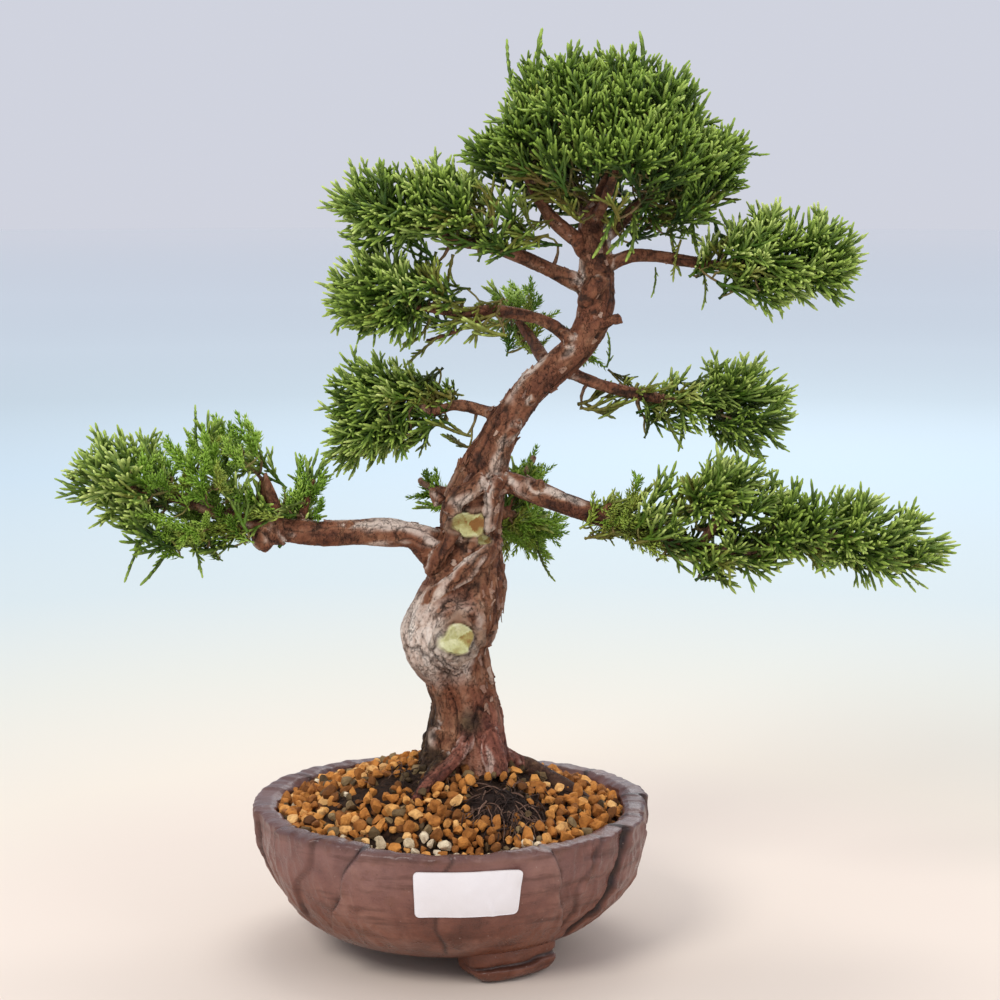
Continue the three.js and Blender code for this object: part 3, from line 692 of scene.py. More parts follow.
def soil_bed():
    rings, columns = 60, 200
    radius = np.linspace(0.02, 1, rings) ** 0.9 * (INNER_RADIUS - 1.5)
    angle = np.linspace(0, 2 * math.pi, columns, endpoint=False)
    r, a = (x.ravel() for x in np.meshgrid(radius, angle, indexing="ij"))
    x, y = r * np.cos(a), r * np.sin(a) * BOWL_OVAL
    flat = np.stack([x, y, x * 0], 1)
    dark = darkness(x, y)
    top = soil_height(x, y) - 1.3 + 0.8 * noise(flat, 6, 61) + 0.5 * noise(flat, 2.2, 62) + 1.0 * dark
    hole = np.exp(-(np.hypot(x - HOLLOW[0], y - HOLLOW[1]) / 3.4) ** 4)
    top -= 3.0 * hole
    upper = np.stack([x, y, top], 1)
    bottom = SOIL_EDGE - 9.0
    lower = np.stack([x, y, np.full(len(x), bottom)], 1)
    faces = grid_faces(rings, columns, wrap_columns=True)
    n = len(x)
    c = np.arange(columns)
    last = n - columns
    side = np.stack([last + c, n + last + c, n + last + (c + 1) % columns, last + (c + 1) % columns], 1)
    cap = np.stack([c, (c + 1) % columns, np.full(columns, 2 * n)], 1)[:, ::-1]
    cap_low = np.stack([n + c, n + (c + 1) % columns, np.full(columns, 2 * n + 1)], 1)
    points = np.vstack([upper, lower, [[0, 0, top[:columns].mean()]], [[0, 0, bottom]]])
    values = {"dark": np.concatenate([dark, dark, [1, 1]])}
    all_faces = [faces[:, ::-1], faces + n, side[:, ::-1], cap[:, ::-1], cap_low[:, ::-1]]
    obj = piece("soil_bed", points, all_faces, values, slot="granules", replaces=["soil"])
    m = Nodes("damp_soil", roughness=0.9, specular=0.2)
    grain = m.noise(700, 6, 0.65)
    color = m.ramp(grain, (0.35, (0.010, 0.005, 0.003)), (0.6, (0.045, 0.022, 0.012)),
                   (0.75, (0.12, 0.06, 0.03)))
    return wear(obj, m.finish(color, m.bump(grain, 0.0012, 0.9)))


def icosphere(rounds):
    """A ball of even triangles: a twenty-sided solid, split `rounds` times."""
    g = (1 + math.sqrt(5)) / 2
    points = [(-1, g, 0), (1, g, 0), (-1, -g, 0), (1, -g, 0), (0, -1, g), (0, 1, g),
              (0, -1, -g), (0, 1, -g), (g, 0, -1), (g, 0, 1), (-g, 0, -1), (-g, 0, 1)]
    tris = [(0, 11, 5), (0, 5, 1), (0, 1, 7), (0, 7, 10), (0, 10, 11), (1, 5, 9), (5, 11, 4), (11, 10, 2),
            (10, 7, 6), (7, 1, 8), (3, 9, 4), (3, 4, 2), (3, 2, 6), (3, 6, 8), (3, 8, 9), (4, 9, 5),
            (2, 4, 11), (6, 2, 10), (8, 6, 7), (9, 8, 1)]
    points = [np.array(p, float) / math.hypot(1, g) for p in points]
    for _ in range(rounds):
        middles, finer = {}, []

        def middle(a, b):
            key = (min(a, b), max(a, b))
            if key not in middles:
                middles[key] = len(points)
                points.append(unit(points[a] + points[b]))
            return middles[key]

        for a, b, c in tris:
            ab, bc, ca = middle(a, b), middle(b, c), middle(c, a)
            finer += [(a, ab, ca), (b, bc, ab), (c, ca, bc), (ab, bc, ca)]
        tris = finer
    return np.array(points), np.array(tris)


def stone_shapes(rng, count):
    """Broken, slightly rounded granules: a ball cut by many flat faces."""
    ball, tris = icosphere(1)
    shapes = []
    for _ in range(count):
        p = ball * rng.uniform(0.88, 1.12, (len(ball), 1))
        for cut in unit(rng.normal(size=(8, 3))):
            depth = rng.uniform(0.42, 0.85)
            over = np.maximum(p @ cut - depth, 0)
            p = p - cut * over[:, None] * 0.97
        shapes.append(p * rng.uniform((1.0, 0.8, 0.62), (1.3, 1.05, 0.85)))
    return shapes, tris


def turned_at_random(rng, count):
    """Rotation matrices, spread evenly over every way a thing can be turned."""
    q = unit(rng.normal(size=(count, 4)))
    w, x, y, z = q.T
    return np.stack([1 - 2 * (y * y + z * z), 2 * (x * y - z * w), 2 * (x * z + y * w),
                     2 * (x * y + z * w), 1 - 2 * (x * x + z * z), 2 * (y * z - x * w),
                     2 * (x * z - y * w), 2 * (y * z + x * w), 1 - 2 * (x * x + y * y)], 1).reshape(-1, 3, 3)


def scattered(rng, tries, gap, reach):
    """Points over the bowl's mouth, each kept clear of the ones before it."""
    cell = {}
    kept = []
    for x, y, g in zip(rng.uniform(-reach, reach, tries), rng.uniform(-reach, reach, tries),
                       rng.uniform(0.8, 1.3, tries) * gap):
        if math.hypot(x, y) > reach:
            continue
        i, j = int(x // gap), int(y // gap)
        near = [q for a in (-1, 0, 1) for b in (-1, 0, 1) for q in cell.get((i + a, j + b), ())]
        if all((x - q[0]) ** 2 + (y - q[1]) ** 2 > (0.5 * (g + q[2])) ** 2 for q in near):
            cell.setdefault((i, j), []).append((x, y, g))
            kept.append((x, y * BOWL_OVAL, g))
    return np.array(kept)


FRONT_ROOT_LINE = [(0, -9), (-3, -13), (-6, -18), (-9, -23)]   # kept clear of granules


def granules_piece():
    rng = np.random.default_rng(71)
    lower = scattered(rng, 14000, 3.0, INNER_RADIUS - 3.2)
    upper = scattered(rng, 2600, 3.5, INNER_RADIUS - 4.5)
    x, y, size = np.vstack([lower, upper]).T
    lift = np.concatenate([np.zeros(len(lower)), np.full(len(upper), 1.9)])
    dark = darkness(x, y)
    in_trunk = np.hypot(x - TRUNK_FOOT[0], y - TRUNK_FOOT[1]) < 15
    keep = (rng.random(len(x)) > dark * np.where(lift > 0, 1.1, 0.66)) & ~in_trunk
    keep &= np.hypot(x - HOLLOW[0], y - HOLLOW[1]) > 3.2
    root_gap = np.min([np.hypot(x - rx, y - ry) for rx, ry in FRONT_ROOT_LINE], 0)
    keep &= (root_gap > 4.2) | (lift == 0) & (root_gap > 3.2)
    x, y, size, lift, dark = (v[keep] for v in (x, y, size, lift, dark))
    size = size * rng.uniform(0.52, 0.78, len(x))
    angle = np.degrees(np.arctan2(y, x))
    part = np.hypot(x, y / BOWL_OVAL) / INNER_RADIUS
    front = np.exp(-((angle + 92) / 38.0) ** 4) * step(0.8, 0.9, part)
    pale = rng.random(len(x)) < 0.006 + 0.5 * front
    z = soil_height(x, y) - 0.5 + lift + rng.uniform(-0.4, 0.5, len(x)) + 0.8 * dark
    shapes, tris = stone_shapes(rng, 16)
    kind = rng.integers(0, len(shapes), len(x))
    turn = turned_at_random(rng, len(x))
    tone = np.clip(rng.beta(2.0, 2.0, len(x)) - 0.25 * dark, 0, 1)
    grey = (rng.random(len(x)) < 0.14 + 0.3 * dark).astype(float)
    heap = Heap()
    for n in range(len(shapes)):
        chosen = np.flatnonzero(kind == n)
        body = np.einsum("mij,vj->mvi", turn[chosen], shapes[n]) * size[chosen][:, None, None]
        body += np.stack([x, y, z], 1)[chosen][:, None]
        count = len(shapes[n])
        faces = (tris[None] + np.arange(len(chosen))[:, None, None] * count).reshape(-1, 3)
        each = np.repeat(chosen, count)
        heap.add(body.reshape(-1, 3), tris=faces, tone=tone[each], pale=pale[each].astype(float),
                 grey=grey[each])
    obj = heap.piece("soil_granules", smooth=False, slot="granules", replaces=["soil"])
    m = Nodes("baked_clay_granules", roughness=0.86, specular=0.25)
    tone_of = m.value("tone")
    fine = m.noise(1500, 5, 0.65)
    blotch = m.noise(420, 3, 0.6)
    fired = m.ramp(tone_of, (0.0, (0.10, 0.038, 0.011)), (0.25, (0.31, 0.118, 0.028)),
                   (0.50, (0.56, 0.22, 0.046)), (0.75, (0.76, 0.36, 0.095)), (1.0, (0.90, 0.57, 0.24)))
    drab = m.ramp(tone_of, (0.0, (0.060, 0.038, 0.018)), (0.5, (0.19, 0.125, 0.058)),
                  (1.0, (0.36, 0.26, 0.13)))
    pumice = m.ramp(tone_of, (0.0, (0.64, 0.50, 0.31)), (1.0, (0.95, 0.82, 0.60)))
    color = m.mix(m.value("grey"), fired, drab)
    color = m.mix(m.value("pale"), color, pumice)
    color = m.mix(m.ramp(blotch, (0.42, 0.0), (0.7, 0.55)), color, (0.16, 0.07, 0.03), "MULTIPLY")
    color = m.mix(m.ramp(fine, (0.45, 0.0), (0.75, 0.5)), color, (0.75, 0.6, 0.45), "SOFT_LIGHT")
    normal = m.bump(m.plus(m.times(fine, 0.6), m.times(blotch, 0.4)), 0.0005, 0.8)
    return wear(obj, m.finish(color, normal))


def root_hairs():
    """Fine roots lying bare over a dark patch of the root ball."""
    rng = np.random.default_rng(83)
    heap = Heap()
    bx, by, rx, ry = BARE_PATCH
    rows, columns = 28, 64
    u = np.linspace(0, 2 * math.pi, columns, endpoint=False)
    v = np.linspace(-math.pi / 2, math.pi / 2, rows)
    v, u = (a.ravel() for a in np.meshgrid(v, u, indexing="ij"))
    wide = np.cos(v)
    mound = np.stack([bx + 13.5 * wide * np.cos(u), by + 14 * wide * np.sin(u), 5.5 * np.sin(v)], 1)
    mound[:, 2] += soil_height(mound[:, 0], mound[:, 1]) - 3.6
    mound[:, 2] += 0.9 * noise(mound, 4, 84) + 0.6 * noise(mound, 1.8, 85)
    heap.add(mound, quads=grid_faces(rows, columns, wrap_columns=True), tone=0.0)
    in_patch, elsewhere = 150, 60
    for n in range(in_patch + elsewhere):
        bare = n < in_patch
        if bare:
            x, y = bx + rng.normal() * rx * 0.42, by + rng.normal() * ry * 0.42
        else:
            x, y = rng.uniform(-34, 40), rng.uniform(-24, 6)
        heading = rng.uniform(-math.pi, math.pi) if rng.random() < 0.5 else rng.normal(-math.pi / 2, 0.5)
        length = rng.uniform(7, 19) if bare else rng.uniform(5, 12)
        steps = 9
        bend = rng.normal(0, 0.22, steps).cumsum() + heading
        px = x + np.cumsum(np.cos(bend)) * length / steps
        py = y + np.cumsum(np.sin(bend)) * length / steps
        arch = np.sin(np.linspace(0, math.pi, steps)) * rng.uniform(0.2, 2.4)
        top = np.exp(-((px - bx) / 14) ** 2 - ((py - by) / 14) ** 2) * 1.7 if bare else 0.9
        path = np.stack([px, py, soil_height(px, py) + top - 0.5 + arch], 1)
        if np.hypot(px / INNER_RADIUS, py / BOWL_OVAL / INNER_RADIUS).max() > 0.95:
            continue
        thick = rng.uniform(0.14, 0.42) * np.linspace(1, 0.45, steps)
        p, quads, tris = tube(path, thick, 5)
        heap.add(p, quads, tris, tone=rng.uniform(0.0, 1.0) ** 3.5)
    obj = heap.piece("bare_roots", slot="fine_roots", replaces=["root_ball"])
    m = Nodes("fine_roots", roughness=0.8, specular=0.25)
    grain = m.noise(900, 5, 0.6)
    dark = m.ramp(grain, (0.3, (0.008, 0.004, 0.003)), (0.7, (0.030, 0.014, 0.009)))
    light = m.ramp(grain, (0.3, (0.10, 0.045, 0.028)), (0.7, (0.34, 0.20, 0.14)))
    color = m.mix(m.value("tone"), dark, light)
    return wear(obj, m.finish(color, m.bump(grain, 0.0005, 0.7)))


soil_bed()
granules_piece()
root_hairs()


# ---- Wood ----
# Stems are [x, y, z, radius] from base to tip, z counted from the collar. They follow the CAD's stems.
TRUNK = [
    [6, 6, -20, 15], [6, 6, -5, 17], [6.6, 5, 6, 14.4], [5.8, 4, 22, 12.4], [2.8, 3, 35, 13.0],
    [-1.4, 1, 46.5, 16.8], [1.8, 1, 55.5, 17.2], [5.3, 3, 64, 14.8], [7.3, 4, 72, 12.6], [8, 5, 80, 11.4],
    [8, 6, 88, 11.4], [9.2, 6, 96, 11], [11.8, 6, 105, 9.8], [14.3, 5, 113, 8.2], [17.8, 4, 120.5, 6.9],
    [22.2, 3, 128, 6.8], [29.4, 2, 138, 6.4], [37.7, 2, 145.5, 6.0], [46.5, 3, 153.5, 5.8],
    [52.2, 4, 162, 6.2],
    [54, 5, 171, 6.6], [54, 6, 180, 6.4], [53.5, 6, 190, 5.6], [52, 7, 198, 4.6], [57, 8, 211, 3.1],
    [64, 9, 226, 2.2], [67, 9, 240, 1.3],
]
BRANCHES = {
    "left_low": [
        [[4, 4, 80, 5.8], [-6, 0, 82.5, 5.5], [-14, -3, 86, 5.1], [-28, -7, 88, 4.9], [-47, -10, 88, 4.8],
         [-63, -13, 90, 4.6], [-74, -15, 93, 3.4], [-86, -17, 98, 2.6], [-100, -18, 103, 2],
         [-114, -18, 106, 1.5]],
        [[-66, -13, 88, 3], [-68, -13, 98, 2.1], [-67, -13, 108, 1.5]],
        [[-54, -11, 89, 2.4], [-52, -8, 98, 1.6], [-49, -5, 107, 1.1]],
        [[-76, -15, 93, 2.4], [-92, -19, 88, 1.7], [-104, -20, 84, 1.2]],
    ],
    "right_low": [
        [[10, 6, 106, 5.2], [23, 2, 104.5, 4.4], [45, -4, 97, 3.9], [68, -9, 90, 3.5], [82, -12, 85, 3.1],
         [102, -14, 81, 2.8], [127, -14, 84, 2.2], [148, -13, 87, 1.6]],
        [[90, -13, 82, 2.2], [98, -13, 94, 1.7], [104, -13, 104, 1.1]],
    ],
    "right_mid": [
        [[38, 2, 148, 3], [45, 4, 144.5, 2.4], [61, 8, 138.5, 2.2], [83, 14, 133.5, 1.9],
         [99, 18, 131.5, 1.6], [112, 20, 134, 1.2]],
    ],
    "left_mid": [
        [[20, 4, 129, 2.8], [12, 6, 131, 2.4], [2.5, 8, 132.5, 2.1], [-6.5, 10, 130, 2],
         [-14, 12, 135, 1.7], [-25, 13, 134, 1.3]],
    ],
    "left_upper_mid": [
        [[46, 3, 155, 3], [41, 2, 160, 2.5], [31.5, -1, 165, 2.2], [15, -5, 168, 2], [5, -7, 167, 1.7],
         [-8, -9, 169, 1.4], [-22, -10, 172, 1.1]],
        [[16, -5, 167, 1.4], [4, -6, 161, 1.1], [-8, -7, 157, 0.9]],
    ],
    "left_upper": [
        [[53, 5, 176, 3.8], [46, 4, 178, 3.2], [34, 0, 183.5, 2.9], [23, -4, 188.5, 2.6],
         [12, -7, 191.5, 2.2], [4, -8, 192.5, 1.9], [-10, -10, 198, 1.5], [-24, -11, 202, 1.1]],
    ],
    "right_upper": [
        [[54, 6, 181, 3.2], [62, 3, 185.5, 2.6], [71, 1, 187.5, 2.4], [89, -3, 185, 2.1],
         [110, -6, 182.5, 1.7], [126, -7, 183, 1.3], [138, -7, 185, 1]],
    ],
    "crown_left": [
        [[52, 6, 189, 3], [45, 3, 194, 2.8], [38, 0, 200, 2.5], [33, -3, 207, 2.1], [28, -6, 217, 1.7],
         [23, -8, 229, 1.2]],
    ],
    "crown_right": [
        [[53, 7, 192, 2.8], [60, 9, 196, 2.6], [69, 12, 204, 2.2], [83, 14, 211, 1.8], [94, 15, 218, 1.3]],
    ],
    "crown_front": [[[53, 6, 200, 2.4], [56, -4, 206, 2.1], [58, -15, 213, 1.7], [60, -27, 221, 1.2]]],
    "crown_back": [[[52, 8, 196, 2.6], [50, 17, 201, 2.2], [47, 28, 209, 1.8], [44, 38, 217, 1.2]]],
    "back_low": [
        [[10, 10, 93, 3.6], [14, 22, 92, 2.9], [22, 34, 88, 2.3], [30, 45, 84, 1.7], [36, 53, 81, 1.2]],
        [[20, 31, 89, 2.1], [27, 36, 100, 1.6], [32, 38, 110, 1.1]],
    ],
    "back_left": [[[7, 10, 97, 2.8], [2, 19, 98, 2.2], [-6, 28, 99, 1.7], [-12, 36, 101, 1.2]]],
    "back_mid": [
        [[36, 4, 147, 2.8], [33, 14, 152, 2.4], [28, 28, 159, 1.9], [24, 42, 164, 1.4], [21, 56, 168, 1]],
    ],
    "back_upper": [[[49, 5, 158, 2.4], [50, 18, 155, 2], [52, 30, 151.5, 1.5], [54, 38, 150, 1.1]]],
}
SURFACE_ROOTS = {
    "left": [[2, 0, 4, 4], [-3, -12, 3.4, 3], [-8, -21, 2.6, 0.5], [-12, -28, 1.9, -1.5]],
    "right": [[16, 6, 5, 3], [30, 6, 4, 1.5], [44, 2, 3, 0], [54, -4, 2, -1]],
    "back": [[6, 14, 4.5, 3], [1, 28, 3.6, 1], [-8, 40, 2.4, -1]],
}
# Growth that the frame leaves out, [x, y, z, radius] with z from the floor: a root over the front of
# the soil, then the strap of bark over the burl, knots, snags, and swellings at the trunk's foot.
FRONT_ROOT = [
    [8, -6, 84, 2.6], [5, -10.5, 78, 2.7], [0.5, -14.5, 72.5, 2.5], [-4, -18, 69.5, 2.3],
    [-8, -23, 67, 2.0], [-12, -29, 64, 1.4],
]
KNOBS = [
    [[-11, -3, 128, 2.6], [-6, -8.5, 134, 3.4], [2, -10.5, 140.5, 3.7], [9.5, -8.5, 146, 3.4],
     [15.5, -4, 151, 2.8], [18, 0, 156, 2]],
    [[-7, -1, 142, 2.4], [-3, -6, 149, 2.8], [1, -7, 156, 2.4], [2, -4, 163, 1.8]],
    [[14, -4, 158, 2.2], [16, -3.5, 165, 3.0], [15.5, -3.5, 172, 3.4], [18, -2, 177, 2.6]],
    [[0, -4, 165, 2.8], [3, -5, 170, 3.4], [9, -5.5, 174, 3.0], [13, -4, 178, 2.2]],
    [[-3, -1, 168, 2.4], [-5, 0, 171, 2.2], [-6, 1, 173, 1.4]],
    [[22, -1, 192, 1.8], [25, -3, 196, 1.7], [26, -3.5, 198, 1.0]],
    [[29, -2, 205, 2.0], [31, -4.5, 207, 1.7], [31.5, -5.5, 209, 0.9]],
    [[53, 1, 232, 2.8], [58, -1, 234, 2.2], [61, -2, 236, 1.9], [62, -2.2, 233.5, 1.6]],
    [[50, 2, 240, 3.0], [51, -0.5, 244, 3.5], [54, -1, 248, 3.0], [58, 1, 249, 2.0]],
    [[46, 2, 225, 2.6], [44, -1, 228, 2.4], [42.5, -2, 231, 1.4]],
    [[49, 4, 259, 2.6], [47, 1, 263, 2.2], [48, -1, 266, 1.2]],
    [[-64, -14, 154.5, 3.4], [-67, -15, 157, 3.9], [-68, -15, 161, 3.4]],
    [[-63, -14, 161, 3.2], [-62.5, -14.5, 168, 2.5], [-64.5, -15, 175, 1.9], [-66, -15, 181, 1.0]],
    [[-60, -14, 156, 3.2], [-62, -16, 160, 2.2], [-62, -17, 163, 1.2]],
    [[-38, -9, 159, 2.6], [-36, -11, 161, 2.0], [-35, -12, 163, 1.0]],
    [[31, -1, 173, 2.6], [33, -4, 175, 2.2], [34, -5, 177, 1.2]],
    [[57, -7, 164, 2.6], [58, -9, 167, 1.8], [59, -10, 169, 1.0]],
    [[-13, -2, 153.5, 3.2], [-10.5, -1, 151.5, 4.0], [-6.2, 0, 146.5, 4.2], [-3, 0, 140, 4.0],
     [-2, 0, 133, 3.0]],
    FRONT_ROOT,
    [[-4, -3, 84, 3.0], [-6, -4, 74, 3.6], [-8, -6, 66, 3.6]],
    [[14, -5, 84, 4.0], [16, -7, 75, 4.4], [18, -9, 67, 4.0]],
    [[15, 13, 88, 4], [17, 17, 74, 4.4], [19, 20, 65, 4]],
    [[-3, 13, 88, 4], [-6, 16, 75, 4.4], [-8, 19, 65, 4]],
]
# Cut faces: middle, the way they face, half width and half height, how strong the callus is.
WOUNDS = [
    ((4.2, -16.2, 120.5), (0.20, -0.96, 0.16), 6.4, 6.2, 1.3),
    ((7.0, -5.8, 161.0), (-0.05, -0.99, 0.12), 5.6, 4.7, 1.4),
    ((13.5, -4.6, 154.5), (0.35, -0.92, 0.2), 2.8, 1.7, 0.6),
]
CHISEL = [(0.70, 0.15), (-0.50, 0.50), (-0.30, -0.70), (0.20, 0.85)]   # the slopes the blade left
BURL_MIDDLE = np.array([-2.0, -2.0, 119.0])


def placed(stem):
    p = np.array(stem, float)
    p[:, 2] = COLLAR + p[:, 2] * STRETCH_UP
    return p


def placed_root(stem):
    p = np.array(stem, float)
    return np.column_stack([p[:, :2], soil_height(p[:, 0], p[:, 1]) + p[:, 3], p[:, 2]])


PATH_STEP = 1.2
trunk_path = smooth_path(placed(TRUNK), PATH_STEP)
branch_paths = {name: [smooth_path(placed(stem), PATH_STEP) for stem in stems]
                for name, stems in BRANCHES.items()}
root_paths = [smooth_path(placed_root(stem), PATH_STEP) for stem in SURFACE_ROOTS.values()]
knob_paths = [smooth_path(knob, 1.0) for knob in KNOBS]


def remeshed(heap, voxel):
    """The outer skin of overlapping closed shapes, as points and arrays of faces."""
    faces = [np.vstack(f) for f in (heap.quads, heap.tris) if f]
    rough = piece("rough", np.vstack(heap.points), faces)
    modifier = rough.modifiers.new("remesh", "REMESH")
    modifier.mode = "VOXEL"
    modifier.voxel_size = voxel * MM
    modifier.adaptivity = 0
    relax = rough.modifiers.new("relax", "SMOOTH")
    relax.factor = 0.5
    relax.iterations = 4
    shape = rough.evaluated_get(bpy.context.evaluated_depsgraph_get())
    mesh = bpy.data.meshes.new_from_object(shape)
    points = points_of(mesh)
    corners = np.zeros(len(mesh.loops), np.int32)
    mesh.loops.foreach_get("vertex_index", corners)
    starts = np.zeros(len(mesh.polygons), np.int32)
    totals = np.zeros(len(mesh.polygons), np.int32)
    mesh.polygons.foreach_get("loop_start", starts)
    mesh.polygons.foreach_get("loop_total", totals)
    out = [corners[starts[totals == n][:, None] + np.arange(n)] for n in (4, 3)]
    bpy.data.objects.remove(rough)
    bpy.data.meshes.remove(mesh)
    return points, out


def normals_of(points, faces):
    total = np.zeros_like(points)
    for f in faces:
        if not len(f):
            continue
        across = np.cross(points[f[:, 2]] - points[f[:, 0]], points[f[:, -1]] - points[f[:, 1]])
        for n in range(f.shape[1]):
            for axis in range(3):
                total[:, axis] += np.bincount(f[:, n], across[:, axis], len(points))
    return unit(total)


def grain_field(points, samples, tangents, radii):
    """The way the wood runs at each point, the radius of the stem there, and the nearest sample."""
    direction = np.zeros_like(points)
    radius = np.zeros(len(points))
    nearest = np.zeros(len(points), np.int64)
    for start in range(0, len(points), 4000):
        part = slice(start, start + 4000)
        d = np.linalg.norm(points[part, None] - samples[None], axis=2) / radii[None]
        nearest[part] = d.argmin(1)
        w = np.exp(-5 * (d - d.min(1, keepdims=True)))
        w /= w.sum(1, keepdims=True)
        direction[part] = w @ tangents
        radius[part] = w @ radii
    return unit(direction), radius, nearest


def along(points, direction, size, seed, reach, taps=9):
    """Noise drawn out along the grain."""
    total = np.zeros(len(points))
    for s in np.linspace(-reach, reach, taps):
        total += noise(points + direction * s, size, seed)
    return total / taps * 2.0


WOOD_VOXEL = 0.60


def wood_piece():
    """The trunk, branches and surface roots in one skin, shaped by bark, knots, cracks and cut faces."""
    heap = Heap()
    samples, radii, tangents = [], [], []

    def add(path, sides, rough):
        place, radius = path[:, :3], path[:, 3]
        swell = 1 + rough * noise(place + 50, 5.0 + radius.mean(), 91)
        points, quads, tris = tube(place, radius * swell, sides)
        heap.add(points, quads, tris)
        samples.append(place)
        radii.append(radius)
        tangents.append(frames(place)[0])

    add(trunk_path, 28, 0.04)
    for stems in branch_paths.values():
        for path in stems:
            add(path, 14, 0.13)
    for path in root_paths:
        add(path, 14, 0.15)
    for path in knob_paths:
        add(path, 12, 0.16)
    samples, radii, tangents = np.vstack(samples), np.concatenate(radii), np.vstack(tangents)
    points, faces = remeshed(heap, WOOD_VOXEL)
    normals = normals_of(points, faces)
    grain, radius, nearest = grain_field(points, samples, tangents, radii)
    up = points[:, 2]

    # Round the main wound the grain turns in rings.
    wound, facing = WOUNDS[0][:2]
    off = points - np.array(wound)
    far = np.linalg.norm(off, axis=1)
    swirl = unit(np.cross(unit(facing), off))
    swirl *= np.sign((swirl * grain).sum(1, keepdims=True) + 1e-9)
    share = (1 - step(9, 19, far))[:, None]
    grain = unit(grain * (1 - share) + swirl * share)
    grain = unit(grain - normals * (grain * normals).sum(1, keepdims=True))

    size = np.clip(radius / 11, 0.22, 1.0)
    burl = np.exp(-(np.linalg.norm((points - BURL_MIDDLE) / [19, 19, 17], axis=1)) ** 6)
    foot = 1 - step(COLLAR + 12, COLLAR + 34, up)
    lumps = 0.8 * noise(points, 15, 92) + 0.55 * noise(points, 6.5, 93) + 0.22 * noise(points, 2.8, 193)
    plate = along(points, grain, 3.4, 94, 9)
    level = (plate + 1.2) * 2.6
    terrace = np.floor(level) + step(0.35, 0.62, level % 1)
    edge = np.exp(-((level % 1 - 0.48) / 0.13) ** 2)
    strings = along(points, grain, 1.25, 95, 6)
    wide = along(points, grain, 5.2, 96, 12, 11)
    crack = np.exp(-(wide / 0.060) ** 2)
    thin = along(points, grain, 2.6, 97, 8)
    fissure = np.exp(-(thin / 0.05) ** 2)
    ragged = 1 - 0.75 * foot * step(6, 14, points[:, 0])
    smooth_burl = 1 - 0.55 * burl
    shaggy = foot * step(-0.2, 0.5, -(points[:, 0] - 1) / 9)
    push = 0.7 * shaggy * np.abs(noise(points * [1, 1, 0.45], 1.7, 108))
    push += size * (0.9 * lumps + ragged * smooth_burl * (0.34 * (terrace - 3.1))
                    + 0.30 * strings * smooth_burl)
    push -= size * (0.95 * crack + 0.42 * fissure) * (0.4 + 0.6 * ragged)
    plates, neighbour, _ = cells(points, 5.5, 181)
    split = (1 - step(0.0, 0.5, neighbour - plates)) * step(150, 175, up)
    push -= size * 0.35 * split
    knot, _, kind = cells(points, 11, 183)
    knotty = (kind > 0.5) * step(148, 156, up) * (radius > 3)
    push += 0.7 * knotty * np.exp(-(knot / 1.3) ** 2)
    knot_ring = knotty * np.exp(-((knot - 1.9) / 0.5) ** 2)
    push -= 0.5 * knot_ring
    ring = np.sin(far * 2 * math.pi / 2.7 + 2.2 * noise(points, 6, 98)) * np.exp(-((far - 13) / 6.5) ** 4)
    push += 0.34 * ring * burl
    push -= 0.9 * burl * np.exp(-(np.abs(along(points, grain, 3.0, 99, 7)) / 0.07) ** 2)
    cut = np.zeros(len(points))
    wound_shade = np.zeros(len(points))
    callus = np.zeros(len(points))
    facet_shade = np.zeros(len(points))
    for order, (middle, face_way, half_wide, half_high, lip) in enumerate(WOUNDS):
        n = unit(face_way)
        across = unit(np.cross([0, 0, 1], n))
        upright = np.cross(n, across)
        rel = points - np.array(middle)
        x, y, h = rel @ across, rel @ upright, rel @ n
        reach = np.hypot(x / half_wide, y / half_high) * (1 + 0.34 * noise(points, 4.2, 101))
        near = (h > -7) & (normals @ n > 0.1)
        inside = (1 - step(0.86, 1.0, reach)) * near
        ring_of = np.exp(-((reach - 1.2) / 0.2) ** 2) * near
        planes = np.array([x * slope_x + y * slope_y for slope_x, slope_y in CHISEL])
        chisel = planes.max(0) + 0.1 * noise(rel, 1.4, 104)
        highest = np.sort(planes, 0)
        arris_shade = np.exp(-((highest[-1] - highest[-2]) / 0.25) ** 2) * inside
        # Painted light: each chisel plane gets its own brightness in the colour, as though lit from its own
        # side.
        facet_shade = np.where(inside > 0.02, planes.argmax(0) / 3 - 0.35 * (order > 0), facet_shade)
        flat = points - n[None] * (h - (-2.4 + chisel))[:, None]
        outer = points + normals * (push * (1 - 0.7 * ring_of) + lip * ring_of)[:, None]
        points_new = outer * (1 - inside)[:, None] + flat * inside[:, None]
        touched = (inside + ring_of) > 0.02
        # Painted shadow: a dark line round each cut face and dark lines where its chisel planes meet.
        wound_shadow_line = np.exp(-((reach - 1.02) / 0.07) ** 2) * near
        wound_shade = np.maximum(wound_shade, wound_shadow_line * step(-0.5, 0.3, noise(points, 3, 107)))
        wound_shade = np.maximum(wound_shade, 0.5 * arris_shade)
        cut = np.maximum(cut, inside)
        callus = np.maximum(callus, ring_of)
        push = np.where(touched, 0, push)
        points = np.where(touched[:, None], points_new, points)
    points = points + normals * push[:, None]
    points[:, 2] = np.where(up < COLLAR - 4, up, points[:, 2])
